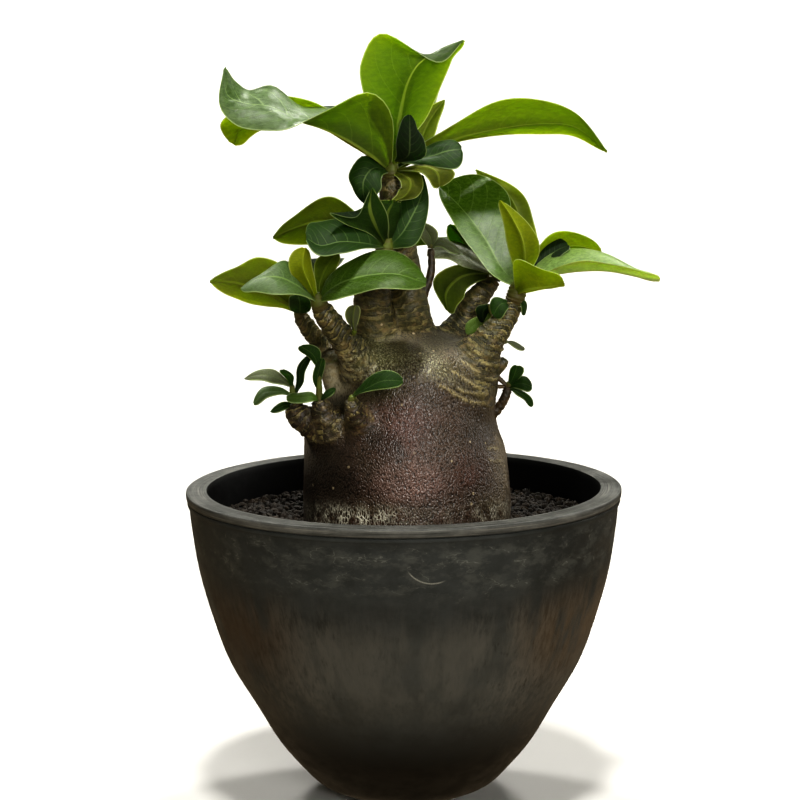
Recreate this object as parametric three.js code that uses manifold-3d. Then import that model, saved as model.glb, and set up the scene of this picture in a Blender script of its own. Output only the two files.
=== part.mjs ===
import * as THREE from "three";
import Module from "manifold-3d";

// Potted desert rose with a swollen trunk. Millimetres, +Z up, -Y towards the front.
// The origin is the middle of the pot's flat base.

// Pot
const POT_HEIGHT = 171;
const POT_SIDES = 48;
const RIM_OUTER = 120.2;
const RIM_INNER = 108.8;
const POT_FLOOR = 6;
const DRAIN_RADIUS = 5;
const DRAIN_AT = 23;
const DRAIN_COUNT = 4;
// Outside wall from the base up, each point [radius, height]
const POT_OUTSIDE = [
  [36.5, 0], [39, 1], [49.4, 6], [58.5, 15], [71.2, 30.5], [83.3, 51], [97.7, 76],
  [106.9, 102], [113.6, 127], [117.5, 152.5], [118.5, 163], [119.4, 163.6], [119.5, 165.6],
  [118.9, 166], [119.9, 166.5], [RIM_OUTER, 170], [119.4, POT_HEIGHT],
];
// Inside wall from the rim down
const POT_INSIDE = [
  [RIM_INNER, POT_HEIGHT], [108.2, 164], [107.6, 152], [106.4, 127], [100.6, 102],
  [91.4, 76], [77, 51], [64.6, 30.5], [51.5, 15], [43, POT_FLOOR],
];

// Soil
const SOIL_TOP = 153;
const SOIL_SIDES = 40;
const SOIL_RINGS = [103, 94, 84, 73, 62, 30];
const SOIL_BUMP = 1.3;

// Free space kept between touching pieces
const GAP = 0.3;

// Leaves
const BLADE = 0.9;
const PETIOLE = 1.5;
const SAMPLE_POWER = 1.25;
const TIP_FROM = 0.99;

// The plant's points are given as they look from the front, in the upright plane through the axis.
// seen() moves each along its line of sight to its own depth.
const EYE = { x: -1.6, y: -1626, z: 477 };
const ROOT_SHARE = 0.85;
const LARGE_GRID = [7, 2];
const SMALL_GRID = [5, 1];
const FAR_WIDTHS = [0.72, 0.97, 0.92];

// Sections of the swollen trunk: height, centre x, centre y, half width, half depth
const CAUDEX_SIDES = 28;
const CAUDEX = [
  [84, 2, 0, 30, 30], [92, 2, 0, 44, 44], [106, 2, 0, 52, 52], [128, 2, 0, 56, 56],
  [150, 2, 0, 57.2, 57], [168, 1.6, 0, 57.3, 57], [182, 1.2, 0, 56.4, 56],
  [194, 0.4, 0, 55.2, 55], [204, -1, 0, 53, 53], [213, 1, 0, 49.5, 50], [222, 3, 0, 46.5, 47],
  [231, 4, 0, 45, 45], [239, 4.5, 0, 43, 43], [247, 4, 0, 37, 37], [253, 3, 0, 27, 28],
  [257, 3, 0, 15, 16],
];

// Limbs and old shoot stumps: points x, y, z, radius
const LIMBS = [
  // Front one of the two middle stems
  { sides: 14, steps: 2, knobs: 0.04, path: [
    [-10, -4, 236, 17], [-14, -8, 252, 12], [-16, -11, 268, 10.5], [-16, -15, 284, 9],
    [-12, -19, 293, 7], [-9, -20, 301, 5],
  ] },
  // Middle stem that carries the crown
  { sides: 14, steps: 2, knobs: 0.04, path: [
    [6, 0, 232, 20], [6, 0, 250, 14], [5, 0, 264, 11], [3, 0, 280, 9.8], [0, 0, 300, 8.6],
    [-3, 0, 318, 7.4], [-5, -1, 334, 6.8], [-5, -1, 341, 5.6],
  ] },
  // Front left branch
  { sides: 12, steps: 2, knobs: 0.04, path: [
    [-20, -22, 232, 13], [-26, -31, 244, 9], [-32, -38, 253, 7], [-38, -42, 261, 6.2],
    [-44, -44, 270, 5.2],
  ] },
  // Back left branch
  { sides: 10, steps: 2, knobs: 0.04, path: [
    [-32, -6, 230, 9], [-39, -8, 243, 6], [-45, -10, 251, 4.8], [-51, -12, 259, 4.6],
    [-55, -13.5, 265.5, 4],
  ] },
  // Right branch
  { sides: 12, steps: 2, knobs: 0.04, path: [
    [32, -12, 226, 19], [39, -15, 239, 13.5], [46, -17, 250, 9], [52, -16, 258, 7],
    [57, -14, 265, 6], [61, -13, 272, 5.2],
  ] },
  // Back right branch
  { sides: 12, steps: 2, knobs: 0.04, path: [
    [18, 8, 240, 14], [27, 12, 254, 9], [34, 16, 264, 7.5], [40, 19, 274, 6.6],
    [49.5, 22, 285.5, 4.8],
  ] },
  // Thin twig behind the middle
  { sides: 8, steps: 1, knobs: 0, path: [
    [4, 8, 258, 4], [11, 11, 276, 2.6], [16, 13, 290, 2.2], [16, 14, 303, 2],
  ] },
  // Swelling under the left branches
  { sides: 10, steps: 2, knobs: 0.04, path: [
    [-30, -14, 222, 8], [-36, -16, 231, 8], [-38, -15, 240, 7],
  ] },
  // Stumps low on the left
  { sides: 10, steps: 2, knobs: 0.04, path: [
    [-36, -20, 200, 14], [-48, -25, 206, 9], [-57, -27, 211, 6.5], [-60, -27, 217, 4],
  ] },
  { sides: 10, steps: 2, knobs: 0.04, path: [
    [-34, -28, 200, 12], [-42, -33, 210, 7], [-46, -35, 219, 4],
  ] },
  { sides: 10, steps: 2, knobs: 0.04, path: [
    [-20, -38, 204, 9], [-26, -45, 212, 6], [-28, -48, 219, 3],
  ] },
  // Nub under the right branch
  { sides: 8, steps: 1, knobs: 0, path: [
    [40, -11, 232, 7], [49, -13, 235, 4], [54, -13, 238, 3], [56.5, -13, 241.5, 2.2],
  ] },
  // Twigs low on the right
  { sides: 6, steps: 1, knobs: 0, path: [
    [47, -4, 236, 1.6], [53, -6, 231, 1.3], [58, -6, 226, 1.2],
  ] },
  { sides: 6, steps: 1, knobs: 0, path: [
    [47, -5, 226, 1.4], [52, -6, 226.5, 1.2], [58, -6, 226, 1],
  ] },
  { sides: 8, steps: 1, knobs: 0, path: [
    [44, -4, 208, 5], [52, -5, 214, 3], [56, -6, 220, 2.6], [58, -6, 226, 2.2],
  ] },
];

// Leafy shoots. stem: points x, y, z, radius. Each leaf: base, tip, and rows from base to tip, each
// [midrib, left edge, right edge] as seen from above. end: how slowly the tip narrows.
const SHOOTS = [
  {
    name: "leaves_crown",
    stem: [[-5, -1, 341.3, 5.4], [-5, -2, 346, 4.6], [-4, -3, 351, 2]],
    leaves: [
      { base: [-3, -6, 346], tip: [34, -8, 416], end: 0.7, rows: [
        [[-2, -8, 360], [4, -8, 361], [-8, -9, 361]],
        [[-1, -9, 371], [12, -6, 371], [-15, -10, 374]],
        [[1, -10, 382], [18, -4, 382], [-20, -9, 388]],
        [[4, -11, 393], [23, -3, 393], [-21, -7, 405]],
        [[10, -11, 403], [27, -3, 402], [-8, -5, 420]],
        [[21, -8, 411], [30, -4, 408], [21, -13, 404]],
      ] },
      { base: [-7, -5, 346], tip: [-95, -16, 402], end: 0.8, rows: [
        [[-17, -10, 355], [-4, -16, 371], [-14, 4, 364]],
        [[-29, -13, 363], [-15, -22, 388], [-26, 6, 374]],
        [[-42, -14, 369.5], [-37, -26, 380], [-40, 8, 380]],
        [[-56, -15, 374], [-58, -27, 370], [-54, 8, 381]],
        [[-70, -16, 381], [-72, -28, 368.5], [-69, 6, 392]],
        [[-84, -17, 383], [-89, -27, 371], [-82, 2, 390]],
        [[-94, -19, 388], [-98, -23, 382], [-89, -9, 395]],
      ] },
      { base: [-8, 4, 347], tip: [-91, 14, 361], end: 0.5, rows: [
        [[-25, 10, 362], [-25, 2, 368], [-25, 15, 358]],
        [[-50, 14, 377], [-50, 4, 384], [-50, 22, 372]],
        [[-74, 14, 377], [-75, 2, 386], [-72, 24, 370]],
        [[-87, 14, 369], [-96, 8, 374], [-81, 18, 365]],
      ] },
      { base: [3, 1, 350], tip: [112, 18, 355], end: 0.8, rows: [
        [[26, 8, 362], [28, 14, 360], [26, 2, 369]],
        [[50, 17, 368], [51, 28, 364], [50, 1, 382]],
        [[74, 20, 371], [74, 33, 365], [74, 3, 383.5]],
        [[95, 20, 369], [94, 29, 364], [95, 9, 376]],
      ] },
      { base: [2, -9, 347.5], tip: [5, -16, 376], end: 0.6, small: true, rows: [
        [[4, -15, 354], [-2.4, -12.5, 355.5], [12, -12, 352.5]],
        [[5, -18, 362], [-2.2, -14.5, 363], [13, -13, 362]],
        [[5, -18, 370], [0, -15, 371], [9, -14, 368.5]],
      ] },
      { base: [5, -3, 349], tip: [33, -10, 357], end: 0.5, small: true, rows: [
        [[15, -7, 353], [15, 0, 359], [17, -14, 348]],
        [[25, -10, 356], [25, -2, 362], [28, -17, 346]],
      ] },
      { base: [3, -6, 346], tip: [21, -19, 337], end: 0.5, small: true, rows: [
        [[10, -15, 347.5], [9, -19, 345], [12, -10, 349.5]],
        [[19, -19, 345], [15, -22, 341], [28, -17, 346]],
      ] },
      { base: [-9, -4, 345], tip: [-19, -13, 327.5], end: 0.6, small: true, rows: [
        [[-15, -9, 347], [-10.3, -12, 342.5], [-19, -5, 354]],
        [[-20, -13, 341], [-10.5, -15, 336.5], [-28, -9, 345]],
        [[-20.5, -14, 334], [-14, -15, 331.5], [-26, -11, 336]],
      ] },
      { base: [-1, -7, 343], tip: [-3, -21, 329.5], end: 0.5, small: true, rows: [
        [[4, -14, 341.5], [0, -17, 338.5], [8.5, -11, 345.3]],
        [[5, -18, 336.5], [-1.5, -19, 335], [12.3, -16, 338.5]],
        [[2, -20, 332], [-3, -20, 332], [9, -18, 331.5]],
      ] },
      { base: [3, 3, 349], tip: [24, 12, 384], end: 0.9, small: true, rows: [
        [[9, 6, 360], [15, 8, 360], [4, 6, 362]],
        [[16, 9, 373], [21, 11, 373], [10, 9, 376]],
      ] },
      { base: [-4, 5, 347], tip: [-20, 92, 374], end: 0.6, half: 19, arch: 12, cup: 6 },
      { base: [0, 5, 348], tip: [6, 84, 388], end: 0.6, half: 18, arch: 12, cup: 6 },
      { base: [-7, 4, 346], tip: [-62, 62, 376], end: 0.6, half: 17, arch: 10, cup: 6 },
      { base: [1, 4, 346], tip: [74, 66, 369], end: 0.6, half: 12, arch: 7, cup: 4 },
    ],
  },
  {
    name: "leaves_middle",
    stem: [[-8.9, -20.3, 301.4, 4.8], [-8, -21, 304, 4], [-7, -22, 309, 1.8]],
    leaves: [
      { base: [-11, -17, 304], tip: [-70, -4, 310], end: 0.8, rows: [
        [[-25, -12, 314], [-27, -20, 325], [-24, -6, 307]],
        [[-42, -8, 319], [-42, -18, 331.5], [-42, 0, 306]],
        [[-57, -5, 316], [-59, -12, 321], [-58, 2, 306]],
      ] },
      { base: [-9, -23, 304], tip: [-52, -49, 309], end: 0.5, rows: [
        [[-20, -36, 306], [-21, -46, 303], [-18, -21, 316]],
        [[-33, -46, 307], [-33, -58, 301], [-34, -30, 320]],
        [[-44, -49, 305], [-45, -58, 300], [-46, -34, 318]],
      ] },
      { base: [-8, -24, 305], tip: [-16, -26, 336.5], end: 0.9, rows: [
        [[-12, -26, 311], [-7, -24, 312], [-17, -30, 311]],
        [[-15, -29, 318], [-7, -25, 320], [-29, -41, 316]],
        [[-17, -30, 324], [-9, -25, 326], [-39, -48, 323]],
        [[-17, -28, 330], [-12, -25, 331], [-24, -35, 321]],
      ] },
      { base: [-6, -22, 306], tip: [-4, -15, 329], end: 0.45, rows: [
        [[-7, -23, 313], [-1, -19, 314], [-13, -22, 314]],
        [[-7.5, -21, 322], [0.5, -16.5, 322], [-16, -21, 325]],
      ] },
      { base: [-6, -22, 303], tip: [12, -8, 343], end: 0.7, rows: [
        [[0, -22, 311], [-6, -16, 315], [5, -26, 304]],
        [[6, -19, 321], [-2, -13, 326], [12, -22, 313]],
        [[11, -14, 332], [5, -10, 335], [15, -16, 327]],
      ] },
    ],
  },
  {
    name: "leaves_front_left",
    stem: [[-44.2, -44.1, 270.4, 5], [-46, -45, 274.5, 4], [-47, -46, 279, 2]],
    leaves: [
      { base: [-45, -46, 276], tip: [13, -48, 284], end: 0.55, rows: [
        [[-40, -48, 280.5], [-41, -42, 286], [-39, -53, 274.9]],
        [[-31, -49.5, 285.5], [-30, -37, 295.5], [-28.5, -56, 277]],
        [[-18, -50, 288.5], [-16, -33, 301.5], [-15, -61, 280.5]],
        [[-3, -50, 289], [-1, -33, 300.5], [-3, -61, 281]],
      ] },
      { base: [-48, -46, 275], tip: [-88, -56, 282], end: 0.7, rows: [
        [[-57, -52, 283], [-56, -60, 278], [-58, -41, 292]],
        [[-68, -56, 288], [-68, -66, 278.5], [-66, -43, 297]],
        [[-79, -56, 287], [-80, -63, 280], [-78, -50, 289]],
      ] },
      { base: [-47, -46, 274], tip: [-53, -50, 304], end: 0.6, small: true, rows: [
        [[-50, -51, 283], [-47, -46, 284], [-58, -50, 286]],
        [[-54, -53, 293], [-49, -47, 294], [-62, -51, 296]],
      ] },
      { base: [-46, -42, 276], tip: [-35, -32, 301], end: 0.6, small: true, rows: [
        [[-45, -36, 285], [-41, -34, 284], [-48, -36, 288]],
        [[-41, -33, 294], [-36, -32, 292], [-47, -33, 297]],
      ] },
    ],
  },
  {
    name: "leaves_back_left",
    stem: [[-55.2, -13.6, 265.8, 3.8], [-56.5, -14, 269, 3], [-57, -14.5, 272, 1.4]],
    leaves: [
      { base: [-57, -14, 269], tip: [-105, -12, 286], end: 0.8, rows: [
        [[-68, -16, 277], [-63, -25, 291], [-69, -8, 271.5]],
        [[-80, -16, 282], [-78, -29, 299], [-82, -6, 273.5]],
        [[-93, -14, 286], [-92, -24, 293], [-94, -8, 278]],
      ] },
      { base: [-56, -16, 267], tip: [-57, -27, 278], end: 0.5, small: true, rows: [
        [[-56, -23, 269], [-61, -22, 270], [-51, -22, 269]],
        [[-56, -27, 274], [-62, -25, 275], [-50, -24, 274]],
      ] },
      { base: [-55, -9, 268], tip: [-76, 42, 284], end: 0.6, half: 14, arch: 8, cup: 4 },
      { base: [-53, -9, 269], tip: [-36, 34, 296], end: 0.6, half: 12, arch: 8, cup: 4 },
    ],
  },
  {
    name: "leaves_right",
    stem: [[61, -13, 272.4, 5], [62.5, -13, 277, 5.2], [64, -12, 282, 4.6], [65, -11, 286, 2.4]],
    leaves: [
      { base: [61, -13, 281], tip: [21, 31, 336.5], end: 0.7, rows: [
        [[54, -7, 293], [51, -13, 287], [60, -2, 299]],
        [[47, 4, 306], [41, -4, 299], [60, 14, 318]],
        [[39, 14, 317.5], [32, 6.5, 311], [58, 27, 333]],
        [[30, 23, 328], [24.5, 17.5, 324], [44, 35, 343]],
      ] },
      { base: [64, -7, 283], tip: [41, 46, 346], end: 0.8, rows: [
        [[67, 9, 299], [74, 9, 299], [60, 9, 301]],
        [[65, 24, 318], [72, 23, 318], [56, 24, 316]],
        [[57, 38, 334], [65, 37, 334], [50, 39, 330]],
      ] },
      { base: [65, -17, 283], tip: [54, -28, 329], end: 0.7, rows: [
        [[67, -22, 295], [74, -19, 296], [60, -21, 296]],
        [[66, -27, 307], [75, -22, 306], [57, -25, 308]],
        [[61, -29, 318], [69, -25, 317], [55, -27, 319]],
      ] },
      { base: [62, -16, 278], tip: [89, -35, 282], end: 0.6, rows: [
        [[68, -26, 279.5], [70, -18, 278.5], [61, -34, 295]],
        [[77, -32, 281], [78, -25, 280], [73, -41, 293]],
        [[84, -34, 282], [85, -29, 281], [84, -40, 289]],
      ] },
      { base: [65, -10, 281], tip: [141, -22, 284.3], end: 0.4, rows: [
        [[80, -16, 288], [78, -4, 297], [79, -23, 289.5]],
        [[96, -20, 290.5], [95, -3, 302.5], [96, -33, 295]],
        [[112, -22, 290.5], [111, -7, 300], [112, -33, 294.5]],
        [[127, -22, 287.5], [127, -16, 291.5], [128, -28, 290.5]],
        [[136, -22, 284.8], [136, -18, 288.5], [137, -26, 288]],
      ] },
      { base: [66, -4, 282], tip: [109, 12, 301], end: 0.6, rows: [
        [[79, 4, 296], [81, 12, 293], [77, -3, 306]],
        [[93, 9, 304], [95, 18, 298], [92, -2, 311.5]],
      ] },
      { base: [66, -8, 283], tip: [91, -2, 304], end: 0.5, small: true, rows: [
        [[75, -4, 294], [74, 4, 302], [78, -12, 291]],
        [[83, -2, 300], [80, 6, 307], [87, -10, 298]],
      ] },
      { base: [59, -16, 274], tip: [50, -20, 266], end: 0.5, small: true, rows: [
        [[54, -20, 272], [57, -21, 268], [51, -18, 276]],
      ] },
      { base: [63, -14, 276], tip: [67, -15, 266], end: 0.6, small: true, rows: [
        [[67, -16, 272], [68, -14, 273], [65, -17, 271]],
      ] },
      { base: [64, -6, 281], tip: [106, 38, 295], end: 0.6, half: 14, arch: 8, cup: 5 },
    ],
  },
  {
    name: "leaves_back_right",
    stem: [[49.8, 22.1, 286, 4.4], [50.8, 22.6, 288.5, 3.6], [51.2, 23.4, 292, 1.8]],
    leaves: [
      { base: [49.5, 21.5, 288], tip: [25, 5, 268.5], end: 0.6, small: true, rows: [
        [[37, 14, 288.5], [36, 18, 294], [37, 9, 282]],
        [[29, 10, 285], [24, 14, 292], [34, 6, 276]],
        [[24, 7, 278], [17, 9, 284.5], [30, 5, 271]],
      ] },
      { base: [50.5, 22.5, 289], tip: [14, 20, 300], end: 0.6, rows: [
        [[37, 21, 297], [36, 15, 292], [37, 29, 303]],
        [[26, 20, 302], [25, 14, 297], [26, 30, 307]],
      ] },
      { base: [50.5, 24, 289], tip: [26, 30, 316], end: 0.6, small: true, rows: [
        [[41, 27, 297], [44, 28, 299], [37, 26, 294]],
        [[33, 29, 308], [37, 30, 310], [28, 28, 304]],
      ] },
      { base: [51, 24, 288], tip: [48, 86, 306], end: 0.6, half: 17, arch: 9, cup: 5 },
      { base: [51.5, 24, 288], tip: [84, 66, 296], end: 0.6, half: 15, arch: 8, cup: 4 },
      { base: [50, 24, 288], tip: [2, 72, 304], end: 0.6, half: 15, arch: 8, cup: 4 },
    ],
  },
  {
    name: "leaves_twig",
    stem: [[16, 14, 303.4, 1.9], [16, 14, 307, 1.1]],
    leaves: [
      { base: [16, 14, 304], tip: [11, 12, 317], end: 0.7, small: true, rows: [
        [[16, 12, 309], [11, 11, 308], [20, 11, 311]],
      ] },
      { base: [16, 14, 303], tip: [32, 9, 300], end: 0.8, small: true, rows: [
        [[21, 12, 306], [21, 15, 309], [21, 8, 304]],
        [[27, 10, 304], [28, 14, 306], [26, 6, 301]],
      ] },
    ],
  },
  {
    name: "leaf_front",
    stem: [[-28, -48, 219.4, 2.6], [-28, -49, 222, 1.5]],
    leaves: [
      { base: [-28, -49, 221], tip: [0, -64, 230], end: 0.5, small: true, rows: [
        [[-21, -56, 225.5], [-20, -53, 231], [-20, -59, 224]],
        [[-11, -62, 230], [-11, -58, 236], [-10, -65, 225.5]],
      ] },
    ],
  },
  {
    name: "leaves_branch_right",
    stem: [[53, -13, 262, 2], [49.5, -8, 267, 1.7], [48, -6, 272, 1.2]],
    leaves: [
      { base: [49, -6, 273], tip: [45, -2, 259.5], end: 0.6, small: true, rows: [
        [[44.5, -5, 268], [49, -4, 266.5], [41, -1, 270.5]],
      ] },
      { base: [48, -5, 268], tip: [35.5, 5, 256], end: 0.6, small: true, rows: [
        [[41, 1, 262], [43, -1, 258.5], [38, 5, 264]],
      ] },
    ],
  },
  {
    name: "leaf_behind_right",
    stem: [[48, -9, 250.5, 1.9], [57, -4, 251.5, 1.2]],
    leaves: [
      { base: [56.5, -4, 251.5], tip: [67, 2, 247], end: 0.4, small: true, rows: [
        [[61, -1, 250.5], [61, 1, 251.5], [60, -3, 249]],
      ] },
    ],
  },
  {
    name: "leaf_branch_left",
    stem: [[-29, -37, 253, 1.8], [-26, -43, 258, 1.3]],
    leaves: [
      { base: [-26, -42, 257], tip: [-26, -48, 272], end: 0.5, small: true, rows: [
        [[-27, -47, 264], [-23.5, -45, 265], [-31, -45, 265]],
      ] },
    ],
  },
  {
    name: "leaves_stump_outer",
    stem: [[-60, -27, 217.4, 2.4], [-60.5, -28, 222, 1.8], [-61, -28, 228, 1.4]],
    leaves: [
      { base: [-61, -28, 227], tip: [-87, -30, 232], end: 0.8, small: true, rows: [
        [[-69, -30, 232], [-70, -34, 229], [-69, -26, 236]],
        [[-78, -31, 234], [-78, -34, 231], [-78, -28, 237]],
      ] },
      { base: [-61, -28, 226], tip: [-66, -33, 237], end: 0.5, small: true, rows: [
        [[-62, -32, 233], [-65, -32, 233], [-60, -30, 233]],
      ] },
      { base: [-61, -28, 224], tip: [-82, -36, 218], end: 0.5, small: true, rows: [
        [[-67, -32, 224.5], [-67, -35, 223], [-67, -29, 227]],
        [[-76, -36, 224], [-75, -39, 221], [-77, -32, 227]],
      ] },
      { base: [-59, -27, 222], tip: [-50, -30, 246], end: 0.7, small: true, rows: [
        [[-57, -29, 229], [-58.5, -28, 230], [-55, -28, 229]],
        [[-56, -30, 238], [-57.5, -29, 239], [-53.5, -29, 236]],
      ] },
      { base: [-60, -28, 219], tip: [-73, -33, 213.5], end: 0.8, small: true, rows: [
        [[-66, -32, 216.5], [-66, -34, 214], [-66, -30, 219]],
      ] },
    ],
  },
  {
    name: "leaves_stump_inner",
    stem: [[-46, -35, 219.4, 2.4], [-46, -36, 224, 1.8], [-46, -37.5, 237, 1.2]],
    leaves: [
      { base: [-46, -36, 222], tip: [-44, -39, 243], end: 0.5, small: true, rows: [
        [[-47, -38, 232], [-49.5, -37, 232], [-44.5, -37, 232]],
      ] },
      { base: [-46, -38, 236], tip: [-56, -40, 250], end: 0.5, small: true, rows: [
        [[-49, -39, 245], [-52, -38, 244], [-45, -38, 247]],
      ] },
      { base: [-45, -36, 221], tip: [-64, -42, 221], end: 0.4, small: true, rows: [
        [[-50, -41, 221.5], [-50, -43, 219], [-50, -38, 224]],
        [[-57, -42, 221], [-57, -44, 218], [-57, -39, 224]],
      ] },
      { base: [-46, -36, 221], tip: [-37, -44, 226], end: 0.7, small: true, rows: [
        [[-42, -41, 223], [-42, -39, 225], [-41, -43, 221]],
      ] },
    ],
  },
  {
    name: "leaves_stump_right",
    stem: [[58, -6, 226.4, 1.9], [58.5, -6, 229, 1.2]],
    leaves: [
      { base: [58, -6, 227], tip: [63, -10, 238], end: 0.45, small: true, rows: [
        [[61, -9, 232], [58.5, -8, 233], [65, -8, 232]],
      ] },
      { base: [59, -6, 226], tip: [71, -11, 226], end: 0.5, small: true, rows: [
        [[65, -10, 228], [65, -6, 232], [65, -13, 224.5]],
      ] },
      { base: [58, -6, 225], tip: [71, -12, 215], end: 0.5, small: true, rows: [
        [[63, -9, 223.5], [63.5, -7, 225], [62, -11, 222]],
        [[68, -11, 220], [70, -10, 221], [66.5, -12, 219]],
      ] },
    ],
  },
];

const wasm = await Module();
wasm.setup();

const V = (x, y, z) => new THREE.Vector3(x, y, z);

function seen([x, y, z]) {
  const k = (y - EYE.y) / -EYE.y;
  return V(EYE.x + (x - EYE.x) * k, y, EYE.z + (z - EYE.z) * k);
}

// Smooth curve through a list of vectors, t from 0 to 1
function curveAt(list, t) {
  const last = list.length - 1;
  const s = Math.min(Math.max(t, 0), 1) * last;
  const i = Math.min(Math.floor(s), last - 1);
  const f = s - i;
  const b = list[i];
  const c = list[i + 1];
  const a = i > 0 ? list[i - 1] : b.clone().multiplyScalar(2).sub(c);
  const d = i + 2 <= last ? list[i + 2] : c.clone().multiplyScalar(2).sub(b);
  return b.clone().multiplyScalar(2)
    .add(c.clone().sub(a).multiplyScalar(f))
    .add(
      a.clone().multiplyScalar(2).addScaledVector(b, -5).addScaledVector(c, 4).sub(d).multiplyScalar(f * f),
    )
    .add(b.clone().multiplyScalar(3).sub(a).addScaledVector(c, -3).add(d).multiplyScalar(f * f * f))
    .multiplyScalar(0.5);
}

// Closed solid from points and triangles, turned so that it faces out
function solid(points, faces) {
  const volume = faces.reduce((sum, [a, b, c]) =>
    sum + points[a].dot(V(0, 0, 0).crossVectors(points[b], points[c])), 0);
  const turned = volume < 0 ? faces.map(([a, b, c]) => [a, c, b]) : faces;
  return new wasm.Manifold(new wasm.Mesh({
    numProp: 3,
    vertProperties: new Float32Array(points.flatMap((p) => [p.x, p.y, p.z])),
    triVerts: new Uint32Array(turned.flat()),
  }));
}

// Skin over a row of equal rings, closed at both ends by a fan
function loft(rings) {
  const n = rings[0].length;
  const points = rings.flat();
  const faces = [];
  for (let i = 0; i + 1 < rings.length; i += 1) {
    for (let k = 0; k < n; k += 1) {
      const a = i * n + k;
      const b = i * n + ((k + 1) % n);
      faces.push([a, b, b + n], [a, b + n, a + n]);
    }
  }
  [0, rings.length - 1].forEach((row) => {
    const middle = rings[row].reduce((sum, p) => sum.add(p), V(0, 0, 0)).divideScalar(n);
    const at = points.push(middle) - 1;
    for (let k = 0; k < n; k += 1) {
      const a = row * n + k;
      const b = row * n + ((k + 1) % n);
      faces.push(row === 0 ? [b, a, at] : [a, b, at]);
    }
  });
  return solid(points, faces);
}

const circle = (sides, place) => Array.from({ length: sides }, (_, k) => place((2 * Math.PI * k) / sides));

// Solid of revolution from a profile that starts and ends on the axis
function revolve(profile, sides) {
  return loft(profile.map(([r, z]) => circle(sides, (a) => V(r * Math.cos(a), r * Math.sin(a), z))));
}

// Round limb along points [x, y, z, radius], with low rings where leaves once stood.
// grow thickens it and pushes its ends out.
function limb({ path, sides, steps, knobs }, grow) {
  const line = path.map(seen);
  const radii = path.map((p) => V(p[3], 0, 0));
  const count = (path.length - 1) * steps;
  const rings = [];
  let side = V(0, 1, 0);
  for (let i = 0; i <= count; i += 1) {
    const t = i / count;
    const along = curveAt(line, t + 0.01).sub(curveAt(line, t - 0.01)).normalize();
    const centre = curveAt(line, t);
    if (i === 0) centre.addScaledVector(along, -grow);
    if (i === count) centre.addScaledVector(along, grow);
    const radius = curveAt(radii, t).x * (i % 2 ? 1 + knobs : 1 - knobs) + grow;
    side = side.clone().addScaledVector(along, -side.dot(along)).normalize();
    const up = V(0, 0, 0).crossVectors(along, side);
    rings.push(circle(sides, (a) => centre.clone()
      .addScaledVector(side, radius * Math.cos(a))
      .addScaledVector(up, radius * Math.sin(a))));
  }
  return loft(rings);
}

// Swollen lower trunk from its level sections
function caudex(grow) {
  return loft(CAUDEX.map(([z, x, y, halfX, halfY], i) => {
    const end = i === 0 ? -grow : i === CAUDEX.length - 1 ? grow : 0;
    return circle(CAUDEX_SIDES, (a) => V(
      x + (halfX + grow) * Math.cos(a),
      y + (halfY + grow) * Math.sin(a),
      z + end,
    ));
  }));
}

function trunk(grow) {
  return LIMBS.reduce((body, each) => body.add(limb(each, grow)), caudex(grow));
}

// Share of the full width at t along a leaf
function spread(t, end, start) {
  const widest = start / (start + end);
  return (t / widest) ** start * ((1 - t) / (1 - widest)) ** end;
}

// One leaf: a thin blade over its midrib and its two edges, rooted inside its stem
function leaf({ base, tip, rows, end, start = 1.1, bulge = 0.1 }, stem, along, across) {
  const foot = seen(base);
  const root = stem.reduce((near, p) => (p.distanceTo(foot) < near.distanceTo(foot) ? p : near));
  const first = foot.clone().lerp(root, ROOT_SHARE);
  const placed = rows.map((row) => row.map(seen));
  const mid = [first, ...placed.map((row) => row[0]), seen(tip)];
  const edge = (which) => {
    const out = placed.map((row, i) => row[which].clone().sub(row[0])
      .divideScalar(spread((i + 1) / (rows.length + 1), end, start)));
    return [out[0], ...out, out[out.length - 1]];
  };
  const edges = [edge(1), edge(2)];
  const grid = [];
  for (let i = 0; i <= along; i += 1) {
    const t = 1 - (1 - i / along) ** SAMPLE_POWER;
    const centre = curveAt(mid, t);
    const ahead = curveAt(mid, t + 0.001).sub(curveAt(mid, t - 0.001)).normalize();
    const share = spread(Math.min(t, TIP_FROM), end, start);
    const row = [];
    for (let j = -across; j <= across; j += 1) {
      const half = curveAt(edges[j < 0 ? 0 : 1], t).multiplyScalar(share);
      const size = half.length();
      const out = half.clone().normalize();
      const above = V(0, 0, 0).crossVectors(out, ahead).multiplyScalar(j < 0 ? -1 : 1).normalize();
      const u = Math.abs(j) / across;
      const stalk = PETIOLE * Math.max(0, 1 - 6 * t);
      row.push(centre.clone()
        .addScaledVector(out, (size + stalk) * u)
        .addScaledVector(above, 4 * bulge * size * u * (1 - u)));
    }
    grid.push(row);
  }
  return plate(grid, BLADE);
}

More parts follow.
